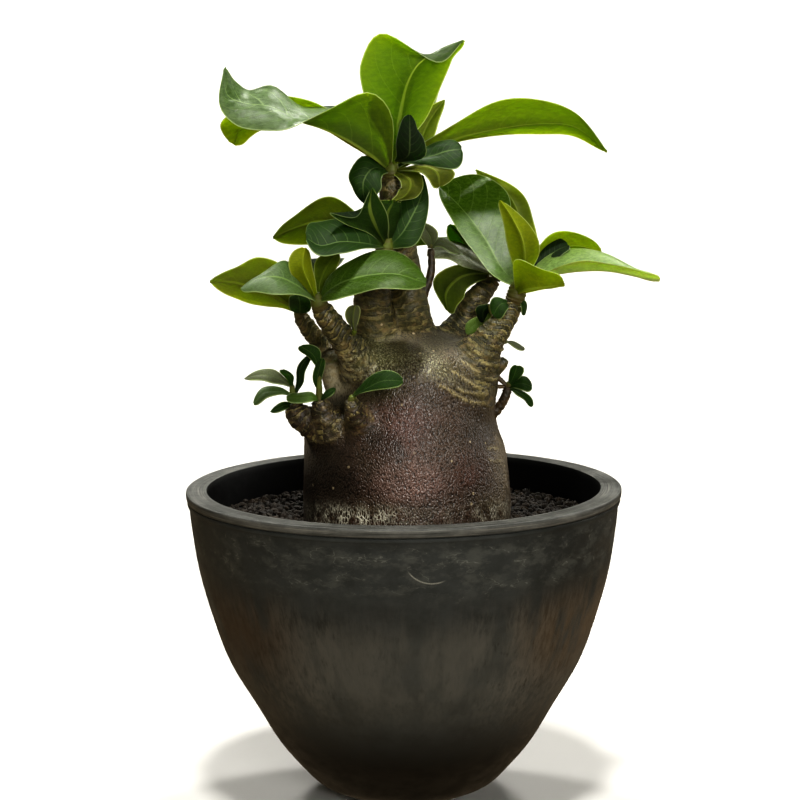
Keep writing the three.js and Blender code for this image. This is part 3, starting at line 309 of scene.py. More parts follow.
# Leafy shoots: name, stem as points x, y, z, radius, and leaves
SHOOTS = [
    ("leaves_crown", [(-5, -1, 341.3, 5.4), (-5, -2, 346, 4.6), (-4, -3, 351, 2)], [
        leaf("sunny", 0.7, (-3, -6, 346), (34, -8, 416), [
            (-2, -8, 360, 4, -8, 361, -8, -9, 361), (-1, -9, 371, 12, -6, 371, -15, -10, 374),
            (1, -10, 382, 18, -4, 382, -20, -9, 388), (4, -11, 393, 23, -3, 393, -21, -7, 405),
            (10, -11, 403, 27, -3, 402, -8, -5, 420), (21, -8, 411, 30, -4, 408, 21, -13, 404)]),
        leaf("dusty", 0.8, (-7, -5, 346), (-95, -16, 402), [
            (-17, -10, 355, -4, -16, 371, -14, 4, 364), (-29, -13, 363, -15, -22, 388, -26, 6, 374),
            (-42, -14, 369.5, -37, -26, 380, -40, 8, 380),
            (-56, -15, 374, -58, -27, 370, -54, 8, 381),
            (-70, -16, 381, -72, -28, 368.5, -69, 6, 392),
            (-84, -17, 383, -89, -27, 371, -82, 2, 390),
            (-94, -19, 388, -98, -23, 382, -89, -9, 395)]),
        leaf("lit", 0.5, (-8, 4, 347), (-91, 14, 361), [
            (-25, 10, 362, -25, 2, 368, -25, 15, 358), (-50, 14, 377, -50, 4, 384, -50, 22, 372),
            (-74, 14, 377, -75, 2, 386, -72, 24, 370), (-87, 14, 369, -96, 8, 374, -81, 18, 365)]),
        leaf("bright", 0.8, (3, 1, 350), (112, 18, 355), [
            (26, 8, 362, 28, 14, 360, 26, 2, 369), (50, 17, 368, 51, 28, 364, 50, 1, 382),
            (74, 20, 371, 74, 33, 365, 74, 3, 383.5), (95, 20, 369, 94, 29, 364, 95, 9, 376)]),
        small_leaf("deep", 0.6, (2, -9, 347.5), (5, -16, 376), [
            (4, -15, 354, -2.4, -12.5, 355.5, 12, -12, 352.5),
            (5, -18, 362, -2.2, -14.5, 363, 13, -13, 362),
            (5, -18, 370, 0, -15, 371, 9, -14, 368.5)]),
        small_leaf("plain", 0.5, (5, -3, 349), (33, -10, 357), [
            (15, -7, 353, 15, 0, 359, 17, -14, 348), (25, -10, 356, 25, -2, 362, 28, -17, 346)]),
        small_leaf("olive", 0.5, (3, -6, 346), (21, -19, 337), [
            (10, -15, 347.5, 9, -19, 345, 12, -10, 349.5),
            (19, -19, 345, 15, -22, 341, 28, -17, 346)]),
        small_leaf("plain", 0.6, (-9, -4, 345), (-19, -13, 327.5), [
            (-15, -9, 347, -10.3, -12, 342.5, -19, -5, 354),
            (-20, -13, 341, -10.5, -15, 336.5, -28, -9, 345),
            (-20.5, -14, 334, -14, -15, 331.5, -26, -11, 336)]),
        small_leaf("olive", 0.5, (-1, -7, 343), (-3, -21, 329.5), [
            (4, -14, 341.5, 0, -17, 338.5, 8.5, -11, 345.3),
            (5, -18, 336.5, -1.5, -19, 335, 12.3, -16, 338.5),
            (2, -20, 332, -3, -20, 332, 9, -18, 331.5)]),
        small_leaf("olive", 0.9, (3, 3, 349), (24, 12, 384), [
            (9, 6, 360, 15, 8, 360, 4, 6, 362), (16, 9, 373, 21, 11, 373, 10, 9, 376)]),
        far_leaf((-4, 5, 347), (-20, 92, 374), 19, 12, 6),
        far_leaf((0, 5, 348), (6, 84, 388), 18, 12, 6),
        far_leaf((-7, 4, 346), (-62, 62, 376), 17, 10, 6),
        far_leaf((1, 4, 346), (74, 66, 369), 12, 7, 4),
    ]),
    ("leaves_middle", [(-8.9, -20.3, 301.4, 4.8), (-8, -21, 304, 4), (-7, -22, 309, 1.8)], [
        leaf("olive", 0.8, (-11, -17, 304), (-70, -4, 310), [
            (-25, -12, 314, -27, -20, 325, -24, -6, 307),
            (-42, -8, 319, -42, -18, 331.5, -42, 0, 306),
            (-57, -5, 316, -59, -12, 321, -58, 2, 306)]),
        leaf("plain", 0.5, (-9, -23, 304), (-52, -49, 309), [
            (-20, -36, 306, -21, -46, 303, -18, -21, 316),
            (-33, -46, 307, -33, -58, 301, -34, -30, 320),
            (-44, -49, 305, -45, -58, 300, -46, -34, 318)]),
        leaf("deep", 0.9, (-8, -24, 305), (-16, -26, 336.5), [
            (-12, -26, 311, -7, -24, 312, -17, -30, 311),
            (-15, -29, 318, -7, -25, 320, -29, -41, 316),
            (-17, -30, 324, -9, -25, 326, -39, -48, 323),
            (-17, -28, 330, -12, -25, 331, -24, -35, 321)]),
        leaf("deep", 0.45, (-6, -22, 306), (-4, -15, 329), [
            (-7, -23, 313, -1, -19, 314, -13, -22, 314),
            (-7.5, -21, 322, 0.5, -16.5, 322, -16, -21, 325)]),
        leaf("plain", 0.7, (-6, -22, 303), (12, -8, 343), [
            (0, -22, 311, -6, -16, 315, 5, -26, 304), (6, -19, 321, -2, -13, 326, 12, -22, 313),
            (11, -14, 332, 5, -10, 335, 15, -16, 327)]),
    ]),
    ("leaves_front_left", [(-44.2, -44.1, 270.4, 5), (-46, -45, 274.5, 4), (-47, -46, 279, 2)], [
        leaf("silver", 0.55, (-45, -46, 276), (13, -48, 284), [
            (-40, -48, 280.5, -41, -42, 286, -39, -53, 274.9),
            (-31, -49.5, 285.5, -30, -37, 295.5, -28.5, -56, 277),
            (-18, -50, 288.5, -16, -33, 301.5, -15, -61, 280.5),
            (-3, -50, 289, -1, -33, 300.5, -3, -61, 281)]),
        leaf("dusty", 0.7, (-48, -46, 275), (-88, -56, 282), [
            (-57, -52, 283, -56, -60, 278, -58, -41, 292),
            (-68, -56, 288, -68, -66, 278.5, -66, -43, 297),
            (-79, -56, 287, -80, -63, 280, -78, -50, 289)]),
        small_leaf("lit", 0.6, (-47, -46, 274), (-53, -50, 304), [
            (-50, -51, 283, -47, -46, 284, -58, -50, 286),
            (-54, -53, 293, -49, -47, 294, -62, -51, 296)]),
        small_leaf("plain", 0.6, (-46, -42, 276), (-35, -32, 301), [
            (-45, -36, 285, -41, -34, 284, -48, -36, 288),
            (-41, -33, 294, -36, -32, 292, -47, -33, 297)]),
    ]),
    ("leaves_back_left", [
        (-55.2, -13.6, 265.8, 3.8), (-56.5, -14, 269, 3), (-57, -14.5, 272, 1.4)], [
        leaf("gold", 0.8, (-57, -14, 269), (-105, -12, 286), [
            (-68, -16, 277, -63, -25, 291, -69, -8, 271.5),
            (-80, -16, 282, -78, -29, 299, -82, -6, 273.5),
            (-93, -14, 286, -92, -24, 293, -94, -8, 278)]),
        small_leaf("plain", 0.5, (-56, -16, 267), (-57, -27, 278), [
            (-56, -23, 269, -61, -22, 270, -51, -22, 269),
            (-56, -27, 274, -62, -25, 275, -50, -24, 274)]),
        far_leaf((-55, -9, 268), (-76, 42, 284), 14, 8, 4),
        far_leaf((-53, -9, 269), (-36, 34, 296), 12, 8, 4),
    ]),
    ("leaves_right", [
        (61, -13, 272.4, 5), (62.5, -13, 277, 5.2), (64, -12, 282, 4.6), (65, -11, 286, 2.4)], [
        leaf("glossy", 0.7, (61, -13, 281), (21, 31, 336.5), [
            (54, -7, 293, 51, -13, 287, 60, -2, 299), (47, 4, 306, 41, -4, 299, 60, 14, 318),
            (39, 14, 317.5, 32, 6.5, 311, 58, 27, 333),
            (30, 23, 328, 24.5, 17.5, 324, 44, 35, 343)], bulge=0.02),
        leaf("bright", 0.8, (64, -7, 283), (41, 46, 346), [
            (67, 9, 299, 74, 9, 299, 60, 9, 301), (65, 24, 318, 72, 23, 318, 56, 24, 316),
            (57, 38, 334, 65, 37, 334, 50, 39, 330)]),
        leaf("lit", 0.7, (65, -17, 283), (54, -28, 329), [
            (67, -22, 295, 74, -19, 296, 60, -21, 296), (66, -27, 307, 75, -22, 306, 57, -25, 308),
            (61, -29, 318, 69, -25, 317, 55, -27, 319)]),
        leaf("lit", 0.6, (62, -16, 278), (89, -35, 282), [
            (68, -26, 279.5, 70, -18, 278.5, 61, -34, 295),
            (77, -32, 281, 78, -25, 280, 73, -41, 293),
            (84, -34, 282, 85, -29, 281, 84, -40, 289)]),
        leaf("pale", 0.4, (65, -10, 281), (141, -22, 284.3), [
            (80, -16, 288, 78, -4, 297, 79, -23, 289.5),
            (96, -20, 290.5, 95, -3, 302.5, 96, -33, 295),
            (112, -22, 290.5, 111, -7, 300, 112, -33, 294.5),
            (127, -22, 287.5, 127, -16, 291.5, 128, -28, 290.5),
            (136, -22, 284.8, 136, -18, 288.5, 137, -26, 288)]),
        leaf("lit", 0.6, (66, -4, 282), (109, 12, 301), [
            (79, 4, 296, 81, 12, 293, 77, -3, 306), (93, 9, 304, 95, 18, 298, 92, -2, 311.5)]),
        small_leaf("deep", 0.5, (66, -8, 283), (91, -2, 304), [
            (75, -4, 294, 74, 4, 302, 78, -12, 291), (83, -2, 300, 80, 6, 307, 87, -10, 298)]),
        small_leaf("plain", 0.5, (59, -16, 274), (50, -20, 266), [
            (54, -20, 272, 57, -21, 268, 51, -18, 276)]),
        small_leaf("plain", 0.6, (63, -14, 276), (67, -15, 266), [
            (67, -16, 272, 68, -14, 273, 65, -17, 271)]),
        far_leaf((64, -6, 281), (106, 38, 295), 14, 8, 5),
    ]),
    ("leaves_back_right", [
        (49.8, 22.1, 286, 4.4), (50.8, 22.6, 288.5, 3.6), (51.2, 23.4, 292, 1.8)], [
        small_leaf("moss", 0.6, (49.5, 21.5, 288), (25, 5, 268.5), [
            (37, 14, 288.5, 36, 18, 294, 37, 9, 282), (29, 10, 285, 24, 14, 292, 34, 6, 276),
            (24, 7, 278, 17, 9, 284.5, 30, 5, 271)]),
        leaf("grey_sheen", 0.6, (50.5, 22.5, 289), (14, 20, 300), [
            (37, 21, 297, 36, 15, 292, 37, 29, 303), (26, 20, 302, 25, 14, 297, 26, 30, 307)]),
        small_leaf("deep", 0.6, (50.5, 24, 289), (26, 30, 316), [
            (41, 27, 297, 44, 28, 299, 37, 26, 294), (33, 29, 308, 37, 30, 310, 28, 28, 304)]),
        far_leaf((51, 24, 288), (48, 86, 306), 17, 9, 5),
        far_leaf((51.5, 24, 288), (84, 66, 296), 15, 8, 4),
        far_leaf((50, 24, 288), (2, 72, 304), 15, 8, 4),
    ]),
    ("leaves_twig", [(16, 14, 303.4, 1.9), (16, 14, 307, 1.1)], [
        small_leaf("grey", 0.7, (16, 14, 304), (11, 12, 317), [
            (16, 12, 309, 11, 11, 308, 20, 11, 311)]),
        small_leaf("grey", 0.8, (16, 14, 303), (32, 9, 300), [
            (21, 12, 306, 21, 15, 309, 21, 8, 304), (27, 10, 304, 28, 14, 306, 26, 6, 301)]),
    ]),
    ("leaf_front", [(-28, -48, 219.4, 2.6), (-28, -49, 222, 1.5)], [
        small_leaf("plain", 0.5, (-28, -49, 221), (0, -64, 230), [
            (-21, -56, 225.5, -20, -53, 231, -20, -59, 224),
            (-11, -62, 230, -11, -58, 236, -10, -65, 225.5)]),
    ]),
    ("leaves_branch_right", [(53, -13, 262, 2), (49.5, -8, 267, 1.7), (48, -6, 272, 1.2)], [
        small_leaf("deep", 0.6, (49, -6, 273), (45, -2, 259.5), [
            (44.5, -5, 268, 49, -4, 266.5, 41, -1, 270.5)]),
        small_leaf("pale", 0.6, (48, -5, 268), (35.5, 5, 256), [
            (41, 1, 262, 43, -1, 258.5, 38, 5, 264)]),
    ]),
    ("leaf_behind_right", [(48, -9, 250.5, 1.9), (57, -4, 251.5, 1.2)], [
        small_leaf("grey", 0.4, (56.5, -4, 251.5), (67, 2, 247), [
            (61, -1, 250.5, 61, 1, 251.5, 60, -3, 249)]),
    ]),
    ("leaf_branch_left", [(-29, -37, 253, 1.8), (-26, -43, 258, 1.3)], [
        small_leaf("grey", 0.5, (-26, -42, 257), (-26, -48, 272), [
            (-27, -47, 264, -23.5, -45, 265, -31, -45, 265)]),
    ]),
    ("leaves_stump_outer", [(-60, -27, 217.4, 2.4), (-60.5, -28, 222, 1.8), (-61, -28, 228, 1.4)], [
        small_leaf("grey", 0.8, (-61, -28, 227), (-87, -30, 232), [
            (-69, -30, 232, -70, -34, 229, -69, -26, 236),
            (-78, -31, 234, -78, -34, 231, -78, -28, 237)]),
        small_leaf("plain", 0.5, (-61, -28, 226), (-66, -33, 237), [
            (-62, -32, 233, -65, -32, 233, -60, -30, 233)]),
        small_leaf("dusty", 0.5, (-61, -28, 224), (-82, -36, 218), [
            (-67, -32, 224.5, -67, -35, 223, -67, -29, 227),
            (-76, -36, 224, -75, -39, 221, -77, -32, 227)]),
        small_leaf("deep", 0.7, (-59, -27, 222), (-50, -30, 246), [
            (-57, -29, 229, -58.5, -28, 230, -55, -28, 229),
            (-56, -30, 238, -57.5, -29, 239, -53.5, -29, 236)]),
        small_leaf("plain", 0.8, (-60, -28, 219), (-73, -33, 213.5), [
            (-66, -32, 216.5, -66, -34, 214, -66, -30, 219)]),
    ]),
    ("leaves_stump_inner", [(-46, -35, 219.4, 2.4), (-46, -36, 224, 1.8), (-46, -37.5, 237, 1.2)], [
        small_leaf("plain", 0.5, (-46, -36, 222), (-44, -39, 243), [
            (-47, -38, 232, -49.5, -37, 232, -44.5, -37, 232)]),
        small_leaf("plain", 0.5, (-46, -38, 236), (-56, -40, 250), [
            (-49, -39, 245, -52, -38, 244, -45, -38, 247)]),
        small_leaf("silver", 0.4, (-45, -36, 221), (-64, -42, 221), [
            (-50, -41, 221.5, -50, -43, 219, -50, -38, 224),
            (-57, -42, 221, -57, -44, 218, -57, -39, 224)]),
        small_leaf("plain", 0.7, (-46, -36, 221), (-37, -44, 226), [
            (-42, -41, 223, -42, -39, 225, -41, -43, 221)]),
    ]),
    ("leaves_stump_right", [(58, -6, 226.4, 1.9), (58.5, -6, 229, 1.2)], [
        small_leaf("plain", 0.45, (58, -6, 227), (63, -10, 238), [
            (61, -9, 232, 58.5, -8, 233, 65, -8, 232)]),
        small_leaf("plain", 0.5, (59, -6, 226), (71, -11, 226), [
            (65, -10, 228, 65, -6, 232, 65, -13, 224.5)]),
        small_leaf("plain", 0.5, (58, -6, 225), (71, -12, 215), [
            (63, -9, 223.5, 63.5, -7, 225, 62, -11, 222),
            (68, -11, 220, 70, -10, 221, 66.5, -12, 219)]),
    ]),
]


def seen(point):
    """A point as it looks from the front, moved along its line of sight to its own depth."""
    x, y, z = point[:3]
    k = (y - EYE[1]) / -EYE[1]
    return np.array([EYE[0] + (x - EYE[0]) * k, y, EYE[2] + (z - EYE[2]) * k])


def as_seen(p):
    """Where real points appear from the front: x and z."""
    x, y, z = p.T
    k = (y - EYE[1]) / -EYE[1]
    return EYE[0] + (x - EYE[0]) / k, EYE[2] + (z - EYE[2]) / k


def curve_at(points, t):
    """Smooth curve through points, at t from 0 to 1."""
    last = len(points) - 1
    s = min(max(t, 0.0), 1.0) * last
    i = min(int(s), last - 1)
    f = s - i
    b, c = points[i], points[i + 1]
    a = points[i - 1] if i > 0 else 2 * b - c
    d = points[i + 2] if i + 2 <= last else 2 * c - b
    bend = (2 * a - 5 * b + 4 * c - d) * f * f + (3 * b - a - 3 * c + d) * f**3
    return 0.5 * (2 * b + (c - a) * f + bend)


def line_and_radii(path):
    return [seen(p) for p in path], [np.array([p[3], 0.0]) for p in path]


def smooth(value, low, high):
    t = np.clip((value - low) / (high - low), 0, 1)
    return t * t * (3 - 2 * t)


def noise_at(p, scale, seed=0.0):
    """Smooth noise, about -1 to 1, at points in mm."""
    shift = Vector((seed * 17.3, seed * 5.1, seed * 11.9))
    return np.array([noise.noise(Vector(q) * scale + shift) for q in p])


def linear(colour):
    """Linear colour from screen values of 0 to 255."""
    return np.array([
        ((c / 255 + 0.055) / 1.055) ** 2.4 if c > 10 else c / 255 / 12.92 for c in colour
    ])


def circles(profile, sides):
    """Level rings of points, one for each radius and height."""
    turn = np.linspace(0, TURN, sides, endpoint=False)
    level = np.ones(sides)
    return np.array([
        np.stack([r * np.cos(turn), r * np.sin(turn), z * level], axis=1) for r, z in profile
    ])


def limb_rings(path, sides):
    """Rings round a limb given by points x, y, z, radius."""
    line, radii = line_and_radii(path)
    count = (len(path) - 1) * LIMB_STEPS
    turn = np.linspace(0, TURN, sides, endpoint=False)[:, None]
    rings = []
    side = np.array([0.0, 1.0, 0.0])
    for i in range(count + 1):
        t = i / count
        ahead = unit(curve_at(line, t + 0.01) - curve_at(line, t - 0.01))
        side = unit(side - ahead * np.dot(side, ahead))
        up = np.cross(ahead, side)
        out = np.cos(turn) * side + np.sin(turn) * up
        rings.append(curve_at(line, t) + curve_at(radii, t)[0] * out)
    return np.array(rings)


def swollen(rings, swell):
    """Rings grown about their centres, each by its own share."""
    centre = rings.mean(axis=1, keepdims=True)
    return centre + (rings - centre) * swell[:, None, None]


def ring_faces(count, sides):
    """Four-sided faces between rings."""
    faces = []
    for i in range(count - 1):
        for k in range(sides):
            a, b = i * sides + k, i * sides + (k + 1) % sides
            faces.append((a, b, b + sides, a + sides))
    return faces


def skin(rings):
    """Closed skin over equal rings, with a fan at each end. Returns points and faces."""
    count, sides = rings.shape[:2]
    points = [*rings.reshape(-1, 3), rings[0].mean(axis=0), rings[-1].mean(axis=0)]
    faces = ring_faces(count, sides)
    low, high, top = len(points) - 2, len(points) - 1, (count - 1) * sides
    for k in range(sides):
        a, b = k, (k + 1) % sides
        faces += [(b, a, low), (a + top, b + top, high)]
    return points, faces


def join(parts):
    """One list of points and one of faces from several."""
    points, faces = [], []
    for some_points, some_faces in parts:
        first = len(points)
        points.extend(some_points)
        faces.extend(tuple(k + first for k in face) for face in some_faces)
    return points, faces


def new_object(name, points, faces, *materials, sharp=None):
    """Smooth mesh object from points in mm. sharp: edges over this angle stay sharp, degrees."""
    mesh = bpy.data.meshes.new(name)
    mesh.from_pydata([tuple(p) for p in np.asarray(points, float) * MM], [], faces)
    mesh.update()
    mesh.polygons.foreach_set("use_smooth", [True] * len(mesh.polygons))
    for material in materials:
        mesh.materials.append(material)
    if sharp:
        mesh.set_sharp_from_angle(angle=math.radians(sharp))
    made = bpy.data.objects.new(name, mesh)
    bpy.context.scene.collection.objects.link(made)
    return made


def store(piece, name, values, kind="COLOR"):
    """Colours, or with kind VECTOR vectors, of the points of a piece."""
    layer = piece.data.attributes.new(name, "FLOAT_" + kind, "POINT")
    layer.data.foreach_set(kind.lower(), np.asarray(values, np.float32).reshape(-1))


def with_last(values, last):
    """Rows of values with one more number in each row."""
    return np.concatenate([values, np.broadcast_to(last, len(values))[:, None]], axis=1)


class Value:
    """Output of a node. Sums and products of values make math nodes."""

    def __init__(self, shade, socket):
        self.shade, self.socket = shade, socket

    def __add__(self, other):
        return self.shade.math("ADD", self, other)

    def __sub__(self, other):
        return self.shade.math("SUBTRACT", self, other)

    def __rsub__(self, other):
        return self.shade.math("SUBTRACT", other, self)

    def __mul__(self, other):
        return self.shade.math("MULTIPLY", self, other)

    def __truediv__(self, other):
        return self.shade.math("DIVIDE", self, other)

    def __abs__(self):
        return self.shade.math("ABSOLUTE", self)


class Shade:
    """Builds a node material with one principled shader. Colours are given as screen values."""

    def __init__(self, name):
        self.material = bpy.data.materials.new(name)
        self.material.use_nodes = True
        self.tree = self.material.node_tree
        self.colour = None

    def put(self, socket, value):
        if isinstance(value, Value):
            self.tree.links.new(value.socket, socket)
        elif socket.type == "RGBA":
            socket.default_value = (*linear(value), 1.0)
        else:
            socket.default_value = value

    def node(self, kind, outputs, inputs, **settings):
        """Values of a new node's outputs. inputs: pairs of a socket and its value."""
        made = self.tree.nodes.new("ShaderNode" + kind)
        for key, value in settings.items():
            setattr(made, key, value)
        for key, value in inputs:
            self.put(made.inputs[key], value)
        return [Value(self, made.outputs[key]) for key in outputs]

    def math(self, operation, *values, clamp=False):
        return self.node("Math", [0], enumerate(values), operation=operation, use_clamp=clamp)[0]

    def mix(self, factor, a, b, blend="MIX"):
        pairs = ((0, factor), (6, a), (7, b))
        return self.node("Mix", [2], pairs, data_type="RGBA", blend_type=blend)[0]

    def paint(self, amount, colour):
        """Lays one more colour over the colour so far."""
        self.colour = self.mix(amount, self.colour, colour)

    def step(self, value, low, high, to_low=0.0, to_high=1.0):
        """Smooth step from to_low to to_high as the value goes from low to high."""
        pairs = enumerate((value, low, high, to_low, to_high))
        return self.node("MapRange", [0], pairs, interpolation_type="SMOOTHSTEP")[0]

    def band(self, value, rise, risen, fall, fallen):
        """1 between risen and fall, fading to 0 at rise and fallen."""
        return self.step(value, rise, risen) * self.step(value, fallen, fall)

    def noise(self, scale, detail, rough, at=None, output="Fac"):
        pairs = [("Scale", scale), ("Detail", detail), ("Roughness", rough)]
        if at:
            pairs.append(("Vector", at))
        return self.node("TexNoise", [output], pairs)[0]

    def cells(self, scale, feature, at, *outputs):
        pairs = (("Scale", scale), ("Vector", at))
        return self.node("TexVoronoi", outputs, pairs, feature=feature)

    def here(self):
        return self.node("TexCoord", ["Object"], ())[0]

    def place(self, scale=(1, 1, 1), location=(0, 0, 0)):
        """Object coordinates, stretched."""
        pairs = (("Vector", self.here()), ("Scale", scale), ("Location", location))
        return self.node("Mapping", [0], pairs)[0]

    def split(self, vector):
        return self.node("SeparateXYZ", range(3), [(0, vector)])

    def stored(self, name, *outputs):
        return self.node("Attribute", outputs, (), attribute_name=name)

    def channels(self, name):
        """Red, green, blue and alpha of a stored colour."""
        colour, alpha = self.stored(name, "Color", "Alpha")
        return [*self.node("SeparateColor", range(3), [(0, colour)]), alpha]

    def bump(self, height, strength, distance):
        pairs = (("Strength", strength), ("Distance", distance), ("Height", height))
        return self.node("Bump", [0], pairs)[0]

    def finish(self, **values):
        inputs = self.tree.nodes["Principled BSDF"].inputs
        self.put(inputs["Base Color"], self.colour)
        for key, value in values.items():
            self.put(inputs[key.replace("_", " ")], value)
        return self.material


def sections(z):
    """Centre x, centre y, half width and half depth of the swollen trunk at heights z."""
    table = list(np.array(CAUDEX, float))
    fine = np.array([curve_at(table, t) for t in np.linspace(0, 1, 160)])
    return [np.interp(z, fine[:, 0], fine[:, k]) for k in (1, 2, 3, 4)]


def caudex_distance(p):
    x, y, z = p.T
    cx, cy, hx, hy = sections(z)
    slope = (sections(z + 1)[2] - sections(z - 1)[2]) / 2
    q = np.sqrt(((x - cx) / hx) ** 2 + ((y - cy) / hy) ** 2)
    d = (q - 1) * np.minimum(hx, hy) / np.sqrt(1 + slope**2)
    return np.maximum(np.maximum(d, z - CAUDEX[-1][0]), CAUDEX_FROM - z)


class Limb:
    """Distances to one limb, with the place along and round it."""

    reach = 14
    steps = 5

    def __init__(self, fillet, pitch, relief, path):
        self.fillet, self.pitch, self.relief, self.path = fillet, pitch, relief, path
        line, radii = line_and_radii(path)
        places = np.linspace(0, 1, (len(path) - 1) * self.steps + 1)
        self.points = np.array([curve_at(line, t) for t in places])
        self.radii = np.array([curve_at(radii, t)[0] for t in places])
        steps = np.linalg.norm(np.diff(self.points, axis=0), axis=1)
        self.at = np.concatenate([[0], np.cumsum(steps)])
        reach = self.radii.max() + self.reach
        self.low, self.high = self.points.min(axis=0) - reach, self.points.max(axis=0) + reach

    def places(self, every):
        """Distance to each point, length along the limb and angle round it."""
        near = ((every > self.low) & (every < self.high)).all(axis=1)
        p = every[near]
        found = np.zeros((3, len(every)))
        found[0] = FAR_OFF
        best = found[:, near]
        for k in range(len(self.points) - 1):
            a, b = self.points[k], self.points[k + 1]
            way = b - a
            size = np.dot(way, way)
            h = np.clip((p - a) @ way / size, 0, 1)
            off = p - a - h[:, None] * way
            far = np.sqrt((off**2).sum(axis=1))
            d = far - (self.radii[k] + h * (self.radii[k + 1] - self.radii[k]))
            side = unit(np.cross(way, (0.13, 1.0, 0.07)))
            up = unit(np.cross(way, side))
            here = (d, self.at[k] + h * math.sqrt(size), np.arctan2(off @ up, off @ side))
            best = np.where(d < best[0], here, best)
        found[:, near] = best
        return found

    def distance(self, every):
        return self.places(every)[0]


def wood_distance(p, limbs):
    """Distance to the trunk and its limbs, joined by fillets."""
    d = caudex_distance(p)
    for limb in limbs:
        other, k = limb.distance(p), limb.fillet
        h = np.maximum(k - np.abs(d - other), 0) / k
        d = np.minimum(d, other) - h * h * k / 4
    return d


def gradient(p, limbs):
    step = 0.35
    moves = step * np.eye(3)
    return np.array([
        (wood_distance(p + move, limbs) - wood_distance(p - move, limbs)) / (2 * step)
        for move in moves
    ]).T


def unit_rows(rows):
    return rows / np.maximum(np.linalg.norm(rows, axis=-1, keepdims=True), TINY)


def neighbours_mean(p, edges):
    total = np.zeros_like(p)
    count = np.zeros(len(p))
    for a, b in ((0, 1), (1, 0)):
        np.add.at(total, edges[:, a], p[edges[:, b]])
        np.add.at(count, edges[:, a], 1)
    return total / count[:, None]


def remeshed(points, faces):
    """One even skin over overlapping solids: points, faces and edges, in mm."""
    rough = new_object("rough", points, faces)
    change = rough.modifiers.new("remesh", "REMESH")
    change.mode = "VOXEL"
    change.voxel_size = TRUNK_VOXEL * MM
    graph = bpy.context.evaluated_depsgraph_get()
    made = rough.evaluated_get(graph).to_mesh()
    where = np.zeros(len(made.vertices) * 3)
    made.vertices.foreach_get("co", where)
    faces = [tuple(polygon.vertices) for polygon in made.polygons]
    edges = np.array([tuple(edge.vertices) for edge in made.edges])
    rough.evaluated_get(graph).to_mesh_clear()
    bpy.data.objects.remove(rough)
    return where.reshape(-1, 3) / MM, faces, edges


def distance_to_line(u, w, line):
    """Distance in a plane from points u, w to a line of points, and the share of the way along."""
    best = np.full(len(u), FAR_OFF)
    share = np.zeros(len(u))
    for k in range(len(line) - 1):
        a, b = np.array(line[k], float), np.array(line[k + 1], float)
        way = b - a
        h = np.clip(((u - a[0]) * way[0] + (w - a[1]) * way[1]) / np.dot(way, way), 0, 1)
        d = np.hypot(u - a[0] - h * way[0], w - a[1] - h * way[1])
        closer = d < best
        best = np.where(closer, d, best)
        share = np.where(closer, (k + h) / (len(line) - 1), share)
    return best, share


def blobs(u, w, rows):
    """Sum of soft round places: x, z, half sizes and amount each."""
    return sum(
        amount * np.exp(-(((u - x) / rx) ** 2) - ((w - z) / rz) ** 2)
        for x, z, rx, rz, amount in rows
    )


def scars(limb, every, weights):
    """Rings of leaf scars stepping up a limb: height, lip, hollow and count of rings."""
    near = weights > 0.01
    p, weight = every[near], weights[near]
    _, along, angle = limb.places(p)
    turns = limb.path[0][0]
    drift = noise_at(p, 0.09, turns)
    rough = noise_at(p, 0.34, turns + 3)
    wave = 0.34 * np.sin(angle * 2 + turns) + 0.20 * np.sin(angle * 3 + along / 9) + 0.55 * drift
    place = along / limb.pitch + wave + 0.16 * rough
    ring = np.floor(place)
    step = place - ring
    strong = 0.62 + 0.38 * np.sin(ring * 2.4 + angle + turns) + 0.35 * rough
    strong = np.clip(strong, 0.12, 1.25) * weight
    rise = smooth(step, 0.0, 0.72) * (1 - smooth(step, 0.80, 0.97))
    lip = smooth(step, 0.50, 0.76) * (1 - smooth(step, 0.80, 0.94))
    hollow = np.clip(smooth(step, 0.84, 0.98) + (1 - smooth(step, 0.0, 0.16)), 0, 1)
    found = np.zeros((4, len(every)))
    found[:, near] = rise * strong, lip * strong, hollow * strong, place
    return found


def trunk_skin(limbs):
    """Even skin of the trunk and its limbs: points, faces and normals."""
    first = (CAUDEX_FROM, *(value[0] for value in sections(np.array([CAUDEX_FROM]))))
    unit_ring = circles([(1, 0)], CAUDEX_SIDES)[0]
    rings = np.array([
        unit_ring * (hx, hy, 1) + (x, y, z)
        for z, x, y, hx, hy in (first, *CAUDEX) if z >= CAUDEX_FROM
    ])
    tubes = [skin(limb_rings(limb.path, LIMB_SIDES)) for limb in limbs]
    p, faces, edges = remeshed(*join([skin(rings), *tubes]))
    for _ in range(2):
        p = p + 0.5 * (neighbours_mean(p, edges) - p)
    for _ in range(4):
        g = gradient(p, limbs)
        steep = np.maximum((g**2).sum(axis=1), 0.25)
        d = np.clip(wood_distance(p, limbs), -3, 3)
        p = p - (d / steep)[:, None] * g
        p = p + 0.25 * (neighbours_mean(p, edges) - p)
    normal = unit_rows(gradient(p, limbs))
    for _ in range(3):
        normal = neighbours_mean(normal, edges)
    return p, faces, unit_rows(normal)


def lay(colour, tone, amount):
    amount = np.clip(amount, 0, 1)[:, None]
    return colour * (1 - amount) + linear(tone) * amount


